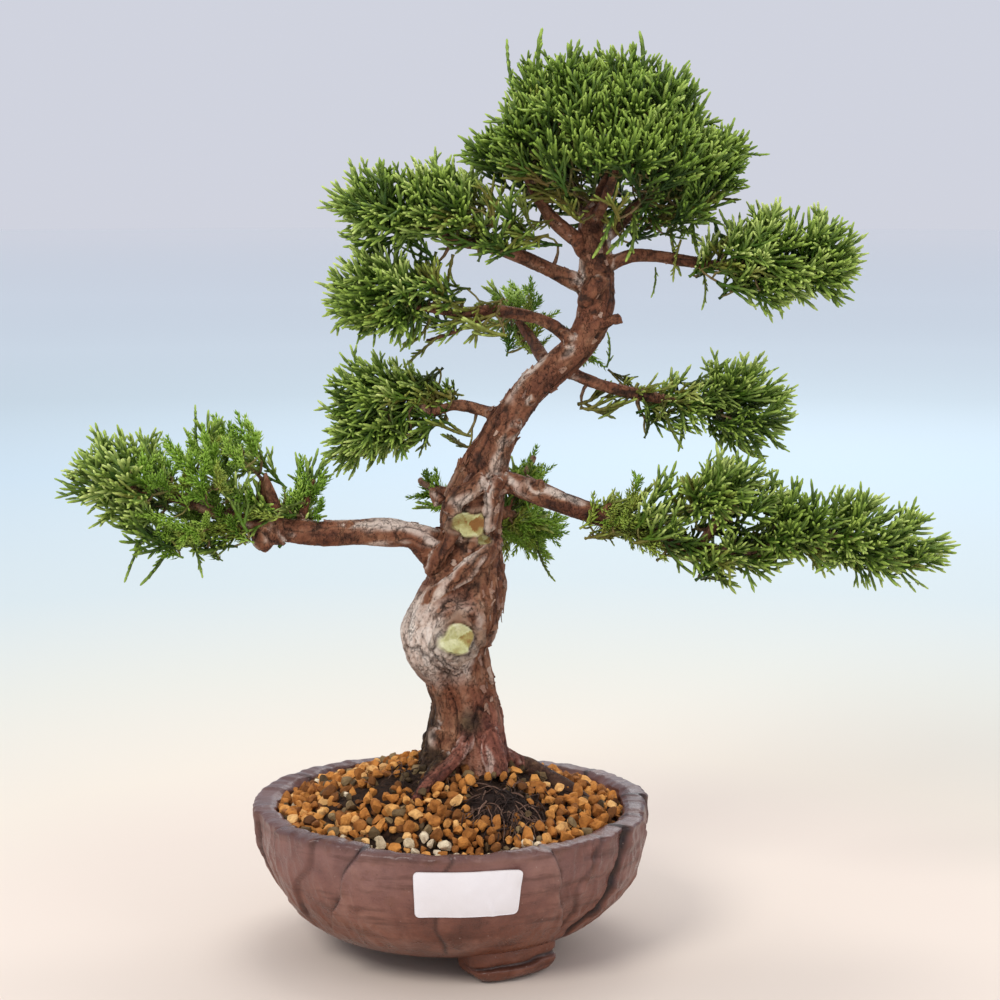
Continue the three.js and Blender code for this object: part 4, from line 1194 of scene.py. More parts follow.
    # Painted shade: cracks, fissures, plate edges, splits, knot rings and the cut faces' edges are darkened in
    # the bark's colour.
    crevice_shade = (0.9 * crack + 0.6 * fissure) * (0.35 + 0.65 * ragged) + 0.22 * edge * ragged + 0.35 * split
    crevice_shade = np.clip(crevice_shade, 0, 1)
    crevice_shade = np.maximum(np.maximum(crevice_shade, 0.8 * knot_ring) * (1 - cut), 0.9 * wound_shade)
    pale = burl * step(-0.35, 0.2, noise(points, 7, 105) + 0.5 - 0.045 * (points[:, 0] + 4))
    upper = step(150, 215, up)
    root_line = smooth_path(FRONT_ROOT, 1.0)[:, :3]
    nearest_root = np.zeros(len(points), np.int64)
    low = np.flatnonzero(up < 87)
    nearest_root[low] = np.linalg.norm(points[low, None] - root_line[None], axis=2).argmin(1)
    pale = np.maximum(pale, 0.55 * upper * step(0.15, 0.6, plate))
    on_branch = nearest >= len(trunk_path)
    pale = np.where(on_branch, 0.5 * step(0.0, 0.5, plate) * step(2.4, 4, radius), pale)
    moss = foot * step(-0.2, 0.5, -(points[:, 0] - 1) / 9 + noise(points, 8, 106))
    roots_dark = (up < COLLAR + 6) & (np.hypot(points[:, 0] - 6, points[:, 1] - 5) > 22) & (points[:, 0] > 20)
    moss = np.where(roots_dark, 0.9, moss)
    bare_root = (up < 87) * (1 - step(2.2, 4.0, np.linalg.norm(points - root_line[nearest_root], axis=1)))
    moss = moss * (1 - bare_root)
    moss = np.maximum(moss, np.exp(-(np.linalg.norm(points - [8, -9, 87], axis=1) / 5.5) ** 4))
    pale = pale * (1 - moss)
    red = np.maximum(foot * step(2, 12, points[:, 0]) * (1 - 0.5 * step(0.2, 0.6, plate)), bare_root)
    values = {
        "crevice_shade": crevice_shade, "pale": np.clip(pale, 0, 1), "moss": np.clip(moss, 0, 1), "red": red, "cut": cut,
        "facet_shade": facet_shade, "callus": callus, "plate": np.clip(plate * 0.5 + 0.5, 0, 1),
        "strings": np.clip(strings * 0.5 + 0.5, 0, 1),
    }
    nodes = ["trunk"] + ["branch_" + name for name in BRANCHES]
    nodes += ["surface_root_" + name for name in SURFACE_ROOTS]
    obj = piece("trunk_and_branches", points, faces, values, slot="bark", replaces=nodes)
    return obj, points, normals_of(points, faces), grain, radius, cut


FLAKES = 230


def flakes_piece(points, normals, grain, radius, cut):
    """Curled scales of loose bark."""
    rng = np.random.default_rng(111)
    heap = Heap()
    weight = np.clip(radius - 1.6, 0, 9) * (cut < 0.05) * (points[:, 2] > COLLAR + 3)
    weight *= 1 - 0.75 * np.exp(-(np.linalg.norm((points - BURL_MIDDLE) / [19, 19, 16], axis=1)) ** 6)
    right_side = np.exp(-((points[:, 0] - 18) / 5) ** 2) * (points[:, 2] < 160)
    weight *= 0.12 + right_side + 0.8 * step(150, 200, points[:, 2])
    weight *= step(COLLAR + 12, COLLAR + 30, points[:, 2])
    chosen = rng.choice(len(points), FLAKES, replace=False, p=weight / weight.sum())
    for i in chosen:
        n, g = normals[i], grain[i] * rng.choice([-1, 1])
        g = unit(g + n * rng.uniform(-0.05, 0.12) + np.cross(n, g) * rng.normal(0, 0.25))
        side = unit(np.cross(n, g))
        scale = 0.45 + 0.55 * min(radius[i] / 9, 1)
        length, width = rng.uniform(1.6, 4.4) * scale, rng.uniform(1.0, 2.8) * scale
        lift, curl = rng.uniform(0.1, 0.9) * scale, rng.uniform(-0.7, 0.1)
        rows, columns = 6, 4
        t = np.linspace(0, 1, rows)[:, None]
        s = np.linspace(-1, 1, columns)[None]
        taper = (1 - 0.55 * t ** 2) * (1 + 0.16 * rng.normal(size=(rows, 1)))
        high = 0.15 + lift * t ** 1.7 + curl * width * 0.35 * s ** 2 * t
        shape = (g * ((t - 0.35) * length)[..., None] + side * (s * width / 2 * taper)[..., None]
                 + n * (high + 0 * s)[..., None]).reshape(-1, 3) + points[i]
        thick = 0.22 * scale
        both = np.vstack([shape, shape - n * thick])
        quads = grid_faces(rows, columns)
        count = rows * columns
        ids = np.arange(count).reshape(rows, columns)
        rim = np.concatenate([ids[:, 0], ids[-1, 1:], ids[-2::-1, -1], ids[0, -2:0:-1]])
        after = np.roll(rim, -1)
        heap.add(both, quads=np.vstack([quads[:, ::-1], quads + count,
                                        np.stack([rim, after, after + count, rim + count], 1)]),
                 crevice_shade=0.0, pale=rng.uniform(0.0, 0.22), moss=0.0, red=0.0, cut=0.0, callus=0.0, facet_shade=0.0,
                 plate=rng.uniform(0.3, 0.75), strings=rng.uniform(0.3, 0.8))
    return heap.piece("bark_flakes", smooth=False, slot="bark")


def bark_material():
    m = Nodes("flaking_juniper_bark", roughness=0.82, specular=0.25)
    fine = m.noise(1100, 5, 0.65)
    middle = m.noise(320, 4, 0.6)
    broad = m.noise(60, 3, 0.55)
    tone = m.plus(m.times(m.value("plate"), 0.34), m.times(m.value("strings"), 0.16))
    tone = m.plus(tone, m.plus(m.times(middle, 0.38), m.times(fine, 0.14)))
    body = m.ramp(tone, (0.38, (0.050, 0.016, 0.008)), (0.46, (0.182, 0.066, 0.032)),
                  (0.56, (0.305, 0.136, 0.071)), (0.68, (0.48, 0.30, 0.20)))
    color = m.mix(m.ramp(broad, (0.42, 0.0), (0.62, 0.6)), body, (0.215, 0.068, 0.033))
    pale_color = m.ramp(tone, (0.38, (0.30, 0.195, 0.145)), (0.46, (0.74, 0.58, 0.48)),
                        (0.62, (0.97, 0.86, 0.76)))
    color = m.mix(m.value("pale"), color, pale_color)
    color = m.mix(m.times(m.value("red"), 0.75), color,
                  m.ramp(tone, (0.36, (0.085, 0.018, 0.013)), (0.66, (0.43, 0.145, 0.098))))
    mossy = m.ramp(middle, (0.38, (0.010, 0.007, 0.004)), (0.56, (0.034, 0.024, 0.011)),
                   (0.72, (0.11, 0.075, 0.035)))
    color = m.mix(m.times(m.value("moss"), 0.85), color, mossy)
    color = m.mix(m.times(m.value("callus"), 0.55), color, (0.36, 0.25, 0.175))
    # Painted shade in the bark's cracks and round the cut faces.
    color = m.mix(m.times(m.value("crevice_shade"), 0.88), color, (0.022, 0.010, 0.006))
    # The cut wood's colour: its own grain, plus painted light that sets each chisel plane lighter or darker.
    grain_and_facet_shade = m.plus(m.times(m.noise(140, 5, 0.6), 0.7), m.times(m.value("facet_shade"), 0.2))
    wood = m.ramp(grain_and_facet_shade, (0.25, (0.26, 0.115, 0.032)), (0.33, (0.38, 0.31, 0.11)), (0.45, (0.58, 0.56, 0.27)),
                  (0.58, (0.78, 0.75, 0.48)))
    color = m.mix(m.value("cut"), color, wood)
    # Painted shade: fine crack lines are darkened in the bark's colour, and the bump cuts them in as well.
    crack_shade_lines = m.ramp(m.noise(150, 5, 0.7, stretch=(1, 1, 0.5)), (0.486, 0.0), (0.5, 1.0), (0.514, 0.0))
    open_bark = m.minus(1.0, m.value("cut"))
    crack_shade_lines = m.times(crack_shade_lines, open_bark)
    color = m.mix(m.times(crack_shade_lines, 0.42), color, (0.030, 0.013, 0.008))
    relief = m.plus(m.times(fine, 0.5), m.times(middle, 0.6))
    normal = m.bump(m.minus(relief, m.times(crack_shade_lines, 0.35)), 0.0014, 1.0)
    rough = m.ramp(middle, (0.35, 0.52), (0.65, 0.80))
    return m.finish(color, normal, rough)


bark = bark_material()
wood, *wood_surface = wood_piece()
wear(wood, bark)
wear(flakes_piece(*wood_surface), bark)


# ---- Foliage ----
# Sprays are grown once as patterns, pointing up z with their upper side towards y, and then set on
# twigs all over each pad.
CORD_STEP = 1.9
CORD_SIDES = 4
SPRAY = 18.0   # how long a spray is, on average


def cord(heap, path, radius, tip_from, tip_to):
    """A shoot covered in scale leaves: four-sided, each ring turned and sized against the last."""
    path = smooth_path(path, CORD_STEP)
    count = len(path)
    _, u, v = frames(path)
    ring = np.arange(count)
    t = ring / max(count - 1, 1)
    size = radius * np.where(ring % 2, 0.90, 1.06) * (1 - 0.14 * t)
    size[-1] *= 0.62
    turned = np.where(ring % 2, math.pi / CORD_SIDES, 0)[:, None]
    angle = np.arange(CORD_SIDES)[None] * 2 * math.pi / CORD_SIDES + turned
    out = u[:, None] * np.cos(angle)[..., None] + v[:, None] * np.sin(angle)[..., None]
    points = path[:, None] + out * size[:, None, None]
    quads = grid_faces(count, CORD_SIDES, wrap_columns=True)
    end = path[-1] + unit(path[-1] - path[-2]) * radius * 0.75
    points = np.vstack([points.reshape(-1, 3), end[None]])
    n = CORD_SIDES * count
    c = np.arange(CORD_SIDES)
    tris = np.stack([np.full(CORD_SIDES, n), n - CORD_SIDES + c, n - CORD_SIDES + (c + 1) % CORD_SIDES], 1)
    tip = tip_from + (tip_to - tip_from) * t
    heap.add(points, quads, tris, tip=np.concatenate([np.repeat(tip, CORD_SIDES), [tip_to]]))


def bent_line(rng, start, heading, length, up=0.16, wander=0.1, steps=5):
    """A curve that leaves `start` along `heading` and turns slowly upwards."""
    line = [np.array(start, float)]
    heading = unit(heading)
    turn = rng.normal(0, wander, 3)
    for _ in range(steps - 1):
        heading = unit(heading + np.array([0, up, 0]) * 0.35 + turn * 0.5)
        line.append(line[-1] + heading * length / (steps - 1))
    return np.array(line)


def scale_spray(rng, length, laterals, spread):
    """A spray of cords: a main shoot, laterals to both sides, and small shoots on those."""
    heap = Heap()
    main = bent_line(rng, (0, 0, 0), (0, -0.12, 1), length, up=0.2, wander=0.14, steps=6)
    cord(heap, main, 0.71, 0.05, 1.0)
    side = rng.choice([-1, 1])
    for n in range(laterals):
        at = 0.16 + 0.60 * n / (laterals - 1) + rng.normal(0, 0.025)
        place = at * (len(main) - 1)
        i = min(int(place), len(main) - 2)
        start = main[i] + (main[i + 1] - main[i]) * (place - i)
        forward = unit(main[i + 1] - main[i])
        roll = rng.normal(0, spread)
        out = np.array([side * math.cos(roll), math.sin(roll), 0])
        side = -side
        angle = math.radians(rng.uniform(26, 46))
        heading = forward * math.cos(angle) + out * math.sin(angle)
        reach = length * (0.74 - 0.38 * at) * rng.uniform(0.8, 1.15)
        line = bent_line(rng, start, heading, reach, up=0.25, wander=0.13, steps=4)
        line[1:] += forward * (np.linspace(0, 1, 4)[1:, None] ** 2) * reach * 0.22
        cord(heap, line, 0.66, 0.05 + 0.3 * at, 1.0)
        other = rng.choice([-1, 1])
        for k in range(2 if reach > 8.5 else 1 if rng.random() < 0.7 else 0):
            f = (0.30, 0.58)[k] + rng.uniform(-0.06, 0.1)
            j = min(int(f * 3), 2)
            begin = line[j] + (line[j + 1] - line[j]) * (f * 3 - j)
            ahead = unit(line[j + 1] - line[j])
            across = unit(np.cross(ahead, [rng.normal(0, 0.4), 1, rng.normal(0, 0.4)])) * other
            other = -other
            small = bent_line(rng, begin, ahead * 0.85 + across * 0.55, reach * rng.uniform(0.34, 0.52),
                              up=0.22, wander=0.1, steps=3)
            cord(heap, small, 0.61, 0.35, 1.0)
    return heap


def needle_shoot(heap, rng, main, leaf, gap, tip_from=0.1):
    """A stem set with sharp young leaves in threes."""
    line = smooth_path(main, gap)
    p, quads, tris = tube(line, np.linspace(0.42, 0.2, len(line)), 4)
    heap.add(p, quads, tris, tip=0.15)
    tangent, u, v = frames(line)
    for n in range(1, len(line)):
        t = n / (len(line) - 1)
        turn = n * 1.1 + rng.uniform(0, 0.5)
        for k in range(3):
            a = turn + k * 2 * math.pi / 3
            out = u[n] * math.cos(a) + v[n] * math.sin(a)
            lean = rng.uniform(0.75, 1.15) * (1 - 0.35 * t)
            heading = unit(tangent[n] + out * lean)
            size = leaf * rng.uniform(0.75, 1.15) * (1 - 0.45 * t ** 3)
            wide = unit(np.cross(heading, out)) * 0.52
            thick = unit(np.cross(wide, heading)) * 0.17
            start = line[n]
            middle = start + heading * size * 0.45
            end = start + heading * size + tangent[n] * size * 0.12
            points = np.array([start, middle - wide, middle + thick * 1.6, middle + wide, end])
            heap.add(points, tris=[(0, 1, 2), (0, 2, 3), (0, 3, 1), (4, 2, 1), (4, 3, 2), (4, 1, 3)],
                     tip=np.array([0.2, 0.6, 0.6, 0.6, 1.0]) * (1 - tip_from) + tip_from)


def needle_spray(rng, length):
    """A spray of young growth: a main needle shoot with four to six side shoots."""
    heap = Heap()
    main = bent_line(rng, (0, 0, 0), (0, -0.1, 1), length, up=0.2, wander=0.15, steps=6)
    needle_shoot(heap, rng, main, 3.9, 1.7)
    side = rng.choice([-1, 1])
    for _ in range(rng.integers(4, 7)):
        at = rng.uniform(0.1, 0.7)
        i = min(int(at * 5), 4)
        start = main[i] + (main[i + 1] - main[i]) * (at * 5 - i)
        roll = rng.normal(0, 0.4)
        heading = np.array([side * math.cos(roll), math.sin(roll), 1.15])
        side = -side
        reach = length * rng.uniform(0.35, 0.6) * (1.1 - at)
        line = bent_line(rng, start, heading, reach, up=0.25, wander=0.12, steps=4)
        needle_shoot(heap, rng, line, 3.2, 1.9, 0.25)
    return heap


def long_shoot(rng, length):
    """A leader: one long cord with short side shoots pressed close to it."""
    heap = Heap()
    main = bent_line(rng, (0, 0, 0), (0, -0.1, 1), length, up=0.12, wander=0.1, steps=7)
    cord(heap, main, 0.78, 0.1, 1.0)
    for n in range(int(length / 2.6)):
        at = 0.12 + 0.8 * n / (length / 2.6)
        i = min(int(at * 6), 5)
        start = main[i] + (main[i + 1] - main[i]) * (at * 6 - i)
        forward = unit(main[i + 1] - main[i])
        roll = rng.uniform(0, 2 * math.pi)
        out = np.array([math.cos(roll), math.sin(roll), 0])
        reach = rng.uniform(3, 6.5) * (1.15 - at)
        line = bent_line(rng, start, forward + out * 0.62, reach, up=0.2, wander=0.1, steps=3)
        cord(heap, line, 0.66, 0.4, 1.0)
    return heap


def frozen(heap):
    """A pattern's points, faces and tip values as plain arrays."""
    return (np.vstack(heap.points), np.vstack(heap.quads) if heap.quads else np.zeros((0, 4), int),
            np.vstack(heap.tris), np.concatenate(heap.values["tip"]))


pattern_rng = np.random.default_rng(121)
PATTERNS = {
    "scale": [frozen(scale_spray(pattern_rng, pattern_rng.uniform(16, 20), pattern_rng.integers(5, 8), 0.85))
              for _ in range(18)],
    "sparse": [frozen(scale_spray(pattern_rng, pattern_rng.uniform(13, 19), pattern_rng.integers(4, 6), 0.5))
               for _ in range(8)],
    "needle": [frozen(needle_spray(pattern_rng, pattern_rng.uniform(13, 19))) for _ in range(10)],
    "leader": [frozen(long_shoot(pattern_rng, pattern_rng.uniform(19, 26))) for _ in range(6)],
}


def cad_surface(node, rng, count):
    """Points spread evenly over a CAD node's surface, and the way it faces there."""
    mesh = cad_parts[node].data
    mesh.calc_loop_triangles()
    corners = points_of(mesh)
    tris = np.zeros(len(mesh.loop_triangles) * 3, np.int32)
    mesh.loop_triangles.foreach_get("vertices", tris)
    a, b, c = (corners[tris.reshape(-1, 3)[:, n]] for n in range(3))
    cross = np.cross(b - a, c - a)
    area = np.linalg.norm(cross, axis=1)
    # Many tries, thinned to points that keep apart.
    tries = count * 12
    chosen = rng.choice(len(area), tries, p=area / area.sum())
    s, t = rng.random((2, tries, 1))
    flip = (s + t) > 1
    s, t = np.where(flip, 1 - s, s), np.where(flip, 1 - t, t)
    points = a[chosen] + (b - a)[chosen] * s + (c - a)[chosen] * t
    normals = unit(cross[chosen])
    gap = math.sqrt(area.sum() / 2 / count) * 0.82
    kept = []
    for i in range(tries):
        if len(kept) == count:
            break
        if not kept or np.min(np.linalg.norm(points[kept] - points[i], axis=1)) > gap:
            kept.append(i)
    return points[kept], normals[kept]


# Each pad: the branches it grows on, how many sprays, how strongly they turn up and which way they
# lean, the stretch of x where it bears young needles, how dry its inner side is, how far it moves
# from the frame's own pad (in x and z) and how much flatter it is. A box under `thin` is x from and
# to, z from and to, and the share of the sprays in it that stay.
PADS = {
    "left_low": dict(
        on=["left_low"], count=180, up=0.25, outward=(-1, 0, 0.15),
        needle=(-110, -74), dry=0.15, move=(5, 6.5), flat=0.86, thin=[(-78, 20, 0, 400, 0.10)],
    ),
    "left_low_shoot": dict(
        on=["left_low"], count=17, up=0.4, outward=(0.5, 0, 0.6),
        needle=(-70, -20), dry=0.2, move=(1, 0), flat=1.0,
    ),
    "right_low": dict(
        on=["right_low"], count=215, up=0.15, outward=(1, 0, -0.05),
        needle=(50, 80), dry=0.35, move=(-3, 2.0), flat=0.84, thin=[(0, 58, 0, 400, 0.5)],
    ),
    "right_mid": dict(
        on=["right_mid"], count=84, up=0.1, outward=(0.8, 0, -0.1),
        needle=None, dry=0.5, move=(0, -6.5), flat=0.9, thin=[(0, 76, 0, 400, 0.4)],
    ),
    "left_mid": dict(
        on=["left_mid"], count=100, up=0.05, outward=(-0.8, 0, -0.2),
        needle=None, dry=0.4, move=(-1, -4), flat=0.92, thin=[(-5, 60, 0, 400, 0.4)],
    ),
    "left_upper_mid": dict(
        on=["left_upper_mid"], count=100, up=0.1, outward=(-0.8, 0, 0.0),
        needle=None, dry=0.4, move=(3, -1.5), flat=1.0, thin=[(-8, 80, 236, 400, 0.0)],
    ),
    "left_upper": dict(
        on=["left_upper"], count=120, up=0.2, outward=(-0.7, 0, 0.1),
        needle=None, dry=0.25, move=(3, -5.5), flat=0.95, thin=[(5, 80, 0, 400, 0.2)],
    ),
    "right_upper": dict(
        on=["right_upper"], count=98, up=0.15, outward=(0.7, 0, 0.0),
        needle=None, dry=0.12, move=(-5, 3.0), flat=0.88,
    ),
    "back_low": dict(
        on=["back_low"], count=34, up=0.05, outward=(0.5, 0.5, -0.3),
        needle=(0, 60), dry=0.25, move=(0, 0), flat=1.0,
    ),
    "back_low_shoot": dict(
        on=["back_low"], count=14, up=0.4, outward=(0.3, 0.2, 0.5),
        needle=(0, 60), dry=0.1, move=(0, 0), flat=1.0,
    ),
    "back_left": dict(
        on=["back_left"], count=9, up=0.3, outward=(-0.6, 0.3, 0.2),
        needle=(-30, 20), dry=0.1, move=(0, 0), flat=1.0,
    ),
    "back_mid": dict(
        on=["back_mid"], count=24, up=0.2, outward=(-0.2, 0.8, 0.1),
        needle=(18, 40), dry=0.3, move=(3, 0), flat=0.9,
    ),
    "back_upper": dict(
        on=["back_upper"], count=16, up=0.2, outward=(0.3, 0.6, 0.0),
        needle=(30, 80), dry=0.1, move=(0, 0), flat=1.0,
    ),
}
CROWN_BRANCHES = ["crown_left", "crown_right", "crown_front", "crown_back"]
CROWN_HEART = np.array([56.0, 6.0, COLLAR + 203.0])
# Lone shoots past the pads' edges: where each starts, the way it points, its size and how dry it is.
LEADERS = [
    ((36, -6, 315), (-0.50, -0.05, 0.87), 1.25, 0.0), ((25, -8, 311), (-0.27, 0, 0.96), 0.95, 0.0),
    ((67, -8, 318), (0.45, 0, 0.90), 1.05, 0.0), ((80, -6, 312), (0, 0, 1), 0.9, 0.0),
    ((98, 0, 297), (0.9, 0, -0.3), 0.7, 0.0), ((-14, -10, 266), (-1, -0.1, 0.2), 0.7, 0.0),
    ((160, -12, 150), (0.6, 0, -0.8), 0.7, 0.0), ((-98, -20, 160), (-0.35, -0.1, -1), 0.9, 0.1),
    ((-108, -18, 162), (-0.5, 0, -1), 0.85, 0.1), ((-92, -18, 160), (0.3, 0, -1), 0.8, 0.1),
    ((-116, -18, 180), (-1, 0, 0.2), 0.7, 0.0), ((-90, -16, 190), (-0.1, 0, 1), 0.7, 0.0),
    # under the crown
    ((72, -12, 278), (-0.6, -0.3, -0.75), 1.0, 0.0), ((66, -12, 276), (0.3, -0.4, -0.85), 0.9, 0.2),
    ((60, -10, 278), (-0.2, -0.4, -0.9), 0.9, 0.0), ((88, 2, 274), (0.1, -0.2, -1), 1.0, 0.1),
    ((96, 4, 272), (0.3, -0.2, -1), 0.9, 0.0), ((80, 0, 272), (-0.1, -0.2, -1), 0.9, 0.8),
    ((84, -2, 264), (-0.4, -0.2, -0.8), 0.7, 0.9), ((100, 0, 270), (0.5, 0, -0.8), 0.8, 0.1),
    ((75, 0, 254), (0.2, -0.2, -0.9), 0.5, 0.2), ((92, -2, 253), (0.4, -0.2, -0.9), 0.6, 0.4),
    ((30, 0, 270), (-0.8, 0, -0.3), 0.8, 0.0), ((32, 2, 264), (-0.7, 0, -0.7), 0.7, 0.0),
    # under the left pads
    ((2, -9, 259), (-0.3, -0.1, -1), 0.9, 0.9), ((-4, -9, 260), (-0.5, 0, -1), 0.8, 0.3),
    ((-6, -8, 237), (-0.3, 0, -1), 0.8, 0.9), ((-12, -8, 237), (-0.1, 0, -1), 0.8, 0.5),
    ((-4, -8, 229), (-0.9, 0, -0.6), 0.8, 0.7),
    # along the bare branch on the right
    ((58, 8, 217), (0.3, -0.1, 0.95), 0.55, 0.1), ((70, 10, 211), (-0.5, -0.1, -0.85), 0.8, 0.8),
    ((78, 12, 208), (0.2, -0.1, -1), 0.9, 0.4), ((84, 14, 207), (0.5, 0, -0.9), 0.9, 0.1),
    ((80, 10, 204), (-0.35, 0, -1), 0.65, 0.5), ((108, 18, 212), (0.9, 0, 0.1), 0.6, 0.0),
    ((33, 40, 147), (0.1, -0.1, -1), 0.7, 0.2),
]


ROLL_SPREAD = 0.7


def instances(patterns, rng, base, heading, scale):
    """Copies of patterns, one at each base. For each pattern: which bases, points, quads, tris, tips, size."""
    kind = rng.integers(0, len(patterns), len(base))
    z = unit(heading)
    up = np.array([0, 0, 1.0]) + rng.normal(0, 0.15, (len(base), 3))
    y = up - z * (up * z).sum(1, keepdims=True)
    y = unit(y)
    x = np.cross(y, z)
    roll = rng.normal(0, ROLL_SPREAD, len(base))[:, None]
    x, y = x * np.cos(roll) + y * np.sin(roll), y * np.cos(roll) - x * np.sin(roll)
    for n, (points, quads, tris, tip) in enumerate(patterns):
        chosen = np.flatnonzero(kind == n)
        if not len(chosen):
            continue
        axes = np.stack([x[chosen], y[chosen], z[chosen]], 1)
        body = np.einsum("vk,mkj->mvj", points, axes) * scale[chosen][:, None, None] + base[chosen][:, None]
        step_by = np.arange(len(chosen))[:, None, None] * len(points)
        yield (chosen, body.reshape(-1, 3), (quads[None] + step_by).reshape(-1, 4),
               (tris[None] + step_by).reshape(-1, 3), np.tile(tip, len(chosen)), len(points))


def twigs(heap, starts, ends, headings, rng):
    """Joins each spray's base to the wood by the shortest way through the twigs grown so far."""
    places = [tuple(s) for s in starts[:, :3]]
    sizes = list(np.minimum(starts[:, 3], 1.0))
    at = np.array(places)
    order = np.argsort([np.min(np.linalg.norm(at - e, axis=1)) for e in ends])
    for i in order:
        end = ends[i]
        gap = np.linalg.norm(at - end, axis=1)
        j = int(np.argmin(gap + 2.5 * (np.array(sizes) < 0.4)))
        start = at[j]
        distance = gap[j]
        if distance < 1.0:
            continue
        lead = unit(headings[i])
        middle = (start + end) / 2 - lead * distance * 0.14 + rng.normal(0, 0.05, 3) * distance
        steps = max(int(distance / 2.6), 2) + 1
        t = np.linspace(0, 1, steps)[:, None]
        path = start * (1 - t) ** 2 + 2 * middle * t * (1 - t) + (end + lead * 1.5) * t ** 2
        first = max(min(sizes[j] * 0.85, 1.05), 0.42)
        radii = np.linspace(first, 0.40, steps) * (1 + 0.12 * rng.normal(size=steps))
        p, quads, tris = tube(path, radii, 5)
        young = np.clip(1 - (radii - 0.38) / 0.35, 0, 1)
        heap.add(p, quads, tris, young=np.concatenate([np.repeat(young, 5), young[:1], young[-1:]]),
                 tone=rng.random())
        new = path[1:]
        at = np.vstack([at, new])
        sizes += list(radii[1:])


def grow(name, points, normals, heading, on, needle, dry, rng, parts=1, stems=None, shade=0.0):
    """Sets sprays on a pad and joins them to the wood: makes the pad's leaf pieces and its twigs."""
    count = len(points)
    reach = rng.uniform(0.78, 1.12, count)
    base = points - unit(heading) * (SPRAY * reach)[:, None]
    # An inner layer fills the pad, turned about and darker; the darkness is painted shade inside the pad.
    inner = rng.choice(count, int(count * 0.22), replace=False)
    inner_base = base[inner] - normals[inner] * 5 - unit(heading[inner]) * 3
    base = np.vstack([base, inner_base])
    heading = np.vstack([heading, unit(heading[inner] + rng.normal(0, 0.3, (len(inner), 3)))])
    reach = np.concatenate([reach, rng.uniform(0.6, 0.85, len(inner))])
    depth = np.concatenate([np.zeros(count), np.ones(len(inner))])
    needle = np.concatenate([needle, needle[inner]])
    dry = np.clip(np.concatenate([dry, dry[inner] + 0.2]), 0, 1)
    # Painted shade: the inner layer, and a whole pad by `shade`, are coloured darker.
    tone = np.clip(rng.beta(2.2, 2.2, len(base)) - 0.25 * depth - shade, 0, 1)
    part_of = np.zeros(len(base), int)
    if parts > 1:
        around = np.degrees(np.arctan2(base[:, 1] - CROWN_HEART[1], base[:, 0] - CROWN_HEART[0])) + 360 + 45
        part_of = (around % 360 / (360 / parts)).astype(int) % parts
    node = "foliage_" + name
    for part in range(parts):
        heap = Heap()
        for kind, mask in (("needle", needle > 0.5), ("sparse", (needle <= 0.5) & (dry > 0.5)),
                           ("scale", (needle <= 0.5) & (dry <= 0.5))):
            chosen = np.flatnonzero(mask & (part_of == part))
            if not len(chosen):
                continue
            for which, body, quads, tris, tip, size in instances(PATTERNS[kind], rng, base[chosen],
                                                                 heading[chosen], reach[chosen]):
                each = np.repeat(chosen[which], size)
                heap.add(body, quads, tris, tip=tip, tone=tone[each], dry=dry[each],
                         young=np.full(len(each), 1.0 if kind == "needle" else 0.0), depth=depth[each])
        if heap.count:
            label = node if parts == 1 else f"{node}_{part + 1}"
            wear(heap.piece(label, slot="foliage", replaces=[node]), leaf)
    wood_samples = [path for stem in on for path in branch_paths[stem]]
    if stems is not None:
        wood_samples.append(stems)
    heap = Heap()
    twigs(heap, np.vstack(wood_samples), base, heading, rng)
    wear(heap.piece("twigs_" + name, slot="bark"), twig)


def leaf_material():
    m = Nodes("juniper_leaf", roughness=0.5, specular=0.28)
    tip, tone, dry = m.value("tip"), m.value("tone"), m.value("dry")
    mottle = m.noise(700, 4, 0.6)
    broad = m.noise(38, 2, 0.5)
    shade = m.plus(m.times(tone, 0.5), m.plus(m.times(mottle, 0.25), m.times(broad, 0.35)))
    old = m.ramp(shade, (0.25, (0.014, 0.036, 0.003)), (0.55, (0.044, 0.098, 0.006)),
                 (0.8, (0.105, 0.190, 0.012)))
    fresh = m.ramp(shade, (0.25, (0.17, 0.28, 0.025)), (0.55, (0.38, 0.50, 0.085)), (0.8, (0.66, 0.74, 0.24)))
    color = m.mix(m.ramp(tip, (0.36, 0.0), (0.76, 0.30), (1.0, 1.0)), old, fresh)
    juvenile = m.ramp(shade, (0.25, (0.11, 0.24, 0.016)), (0.55, (0.27, 0.46, 0.040)),
                      (0.8, (0.46, 0.66, 0.10)))
    color = m.mix(m.times(m.value("young"), 0.75), color, juvenile)
    brown = m.ramp(shade, (0.25, (0.15, 0.085, 0.020)), (0.55, (0.30, 0.23, 0.045)),
                   (0.8, (0.42, 0.37, 0.085)))
    aged = m.times(dry, m.ramp(tip, (0.2, 1.0), (0.95, 0.45)))
    color = m.mix(m.times(aged, 0.75), color, brown)
    # Painted shade: the inner layer of sprays is darkened in colour.
    color = m.mix(m.times(m.value("depth"), 0.35), color, (0.020, 0.040, 0.008))
    seams = m.noise(1700, 2, 0.5)
    rough = m.ramp(mottle, (0.3, 0.40), (0.7, 0.60))
    return m.finish(color, m.bump(seams, 0.0003, 0.5), rough)


def twig_material():
    m = Nodes("young_twig", roughness=0.72, specular=0.3)
    grain = m.noise(800, 4, 0.6)
    brown = m.ramp(grain, (0.3, (0.055, 0.024, 0.014)), (0.55, (0.15, 0.068, 0.040)),
                   (0.8, (0.30, 0.17, 0.11)))
    green = m.ramp(grain, (0.3, (0.12, 0.11, 0.028)), (0.7, (0.30, 0.27, 0.075)))
    shift = m.times(m.value("young"), m.ramp(m.value("tone"), (0.2, 0.35), (0.8, 0.95)))
    color = m.mix(shift, brown, green)
    return m.finish(color, m.bump(grain, 0.0004, 0.7))


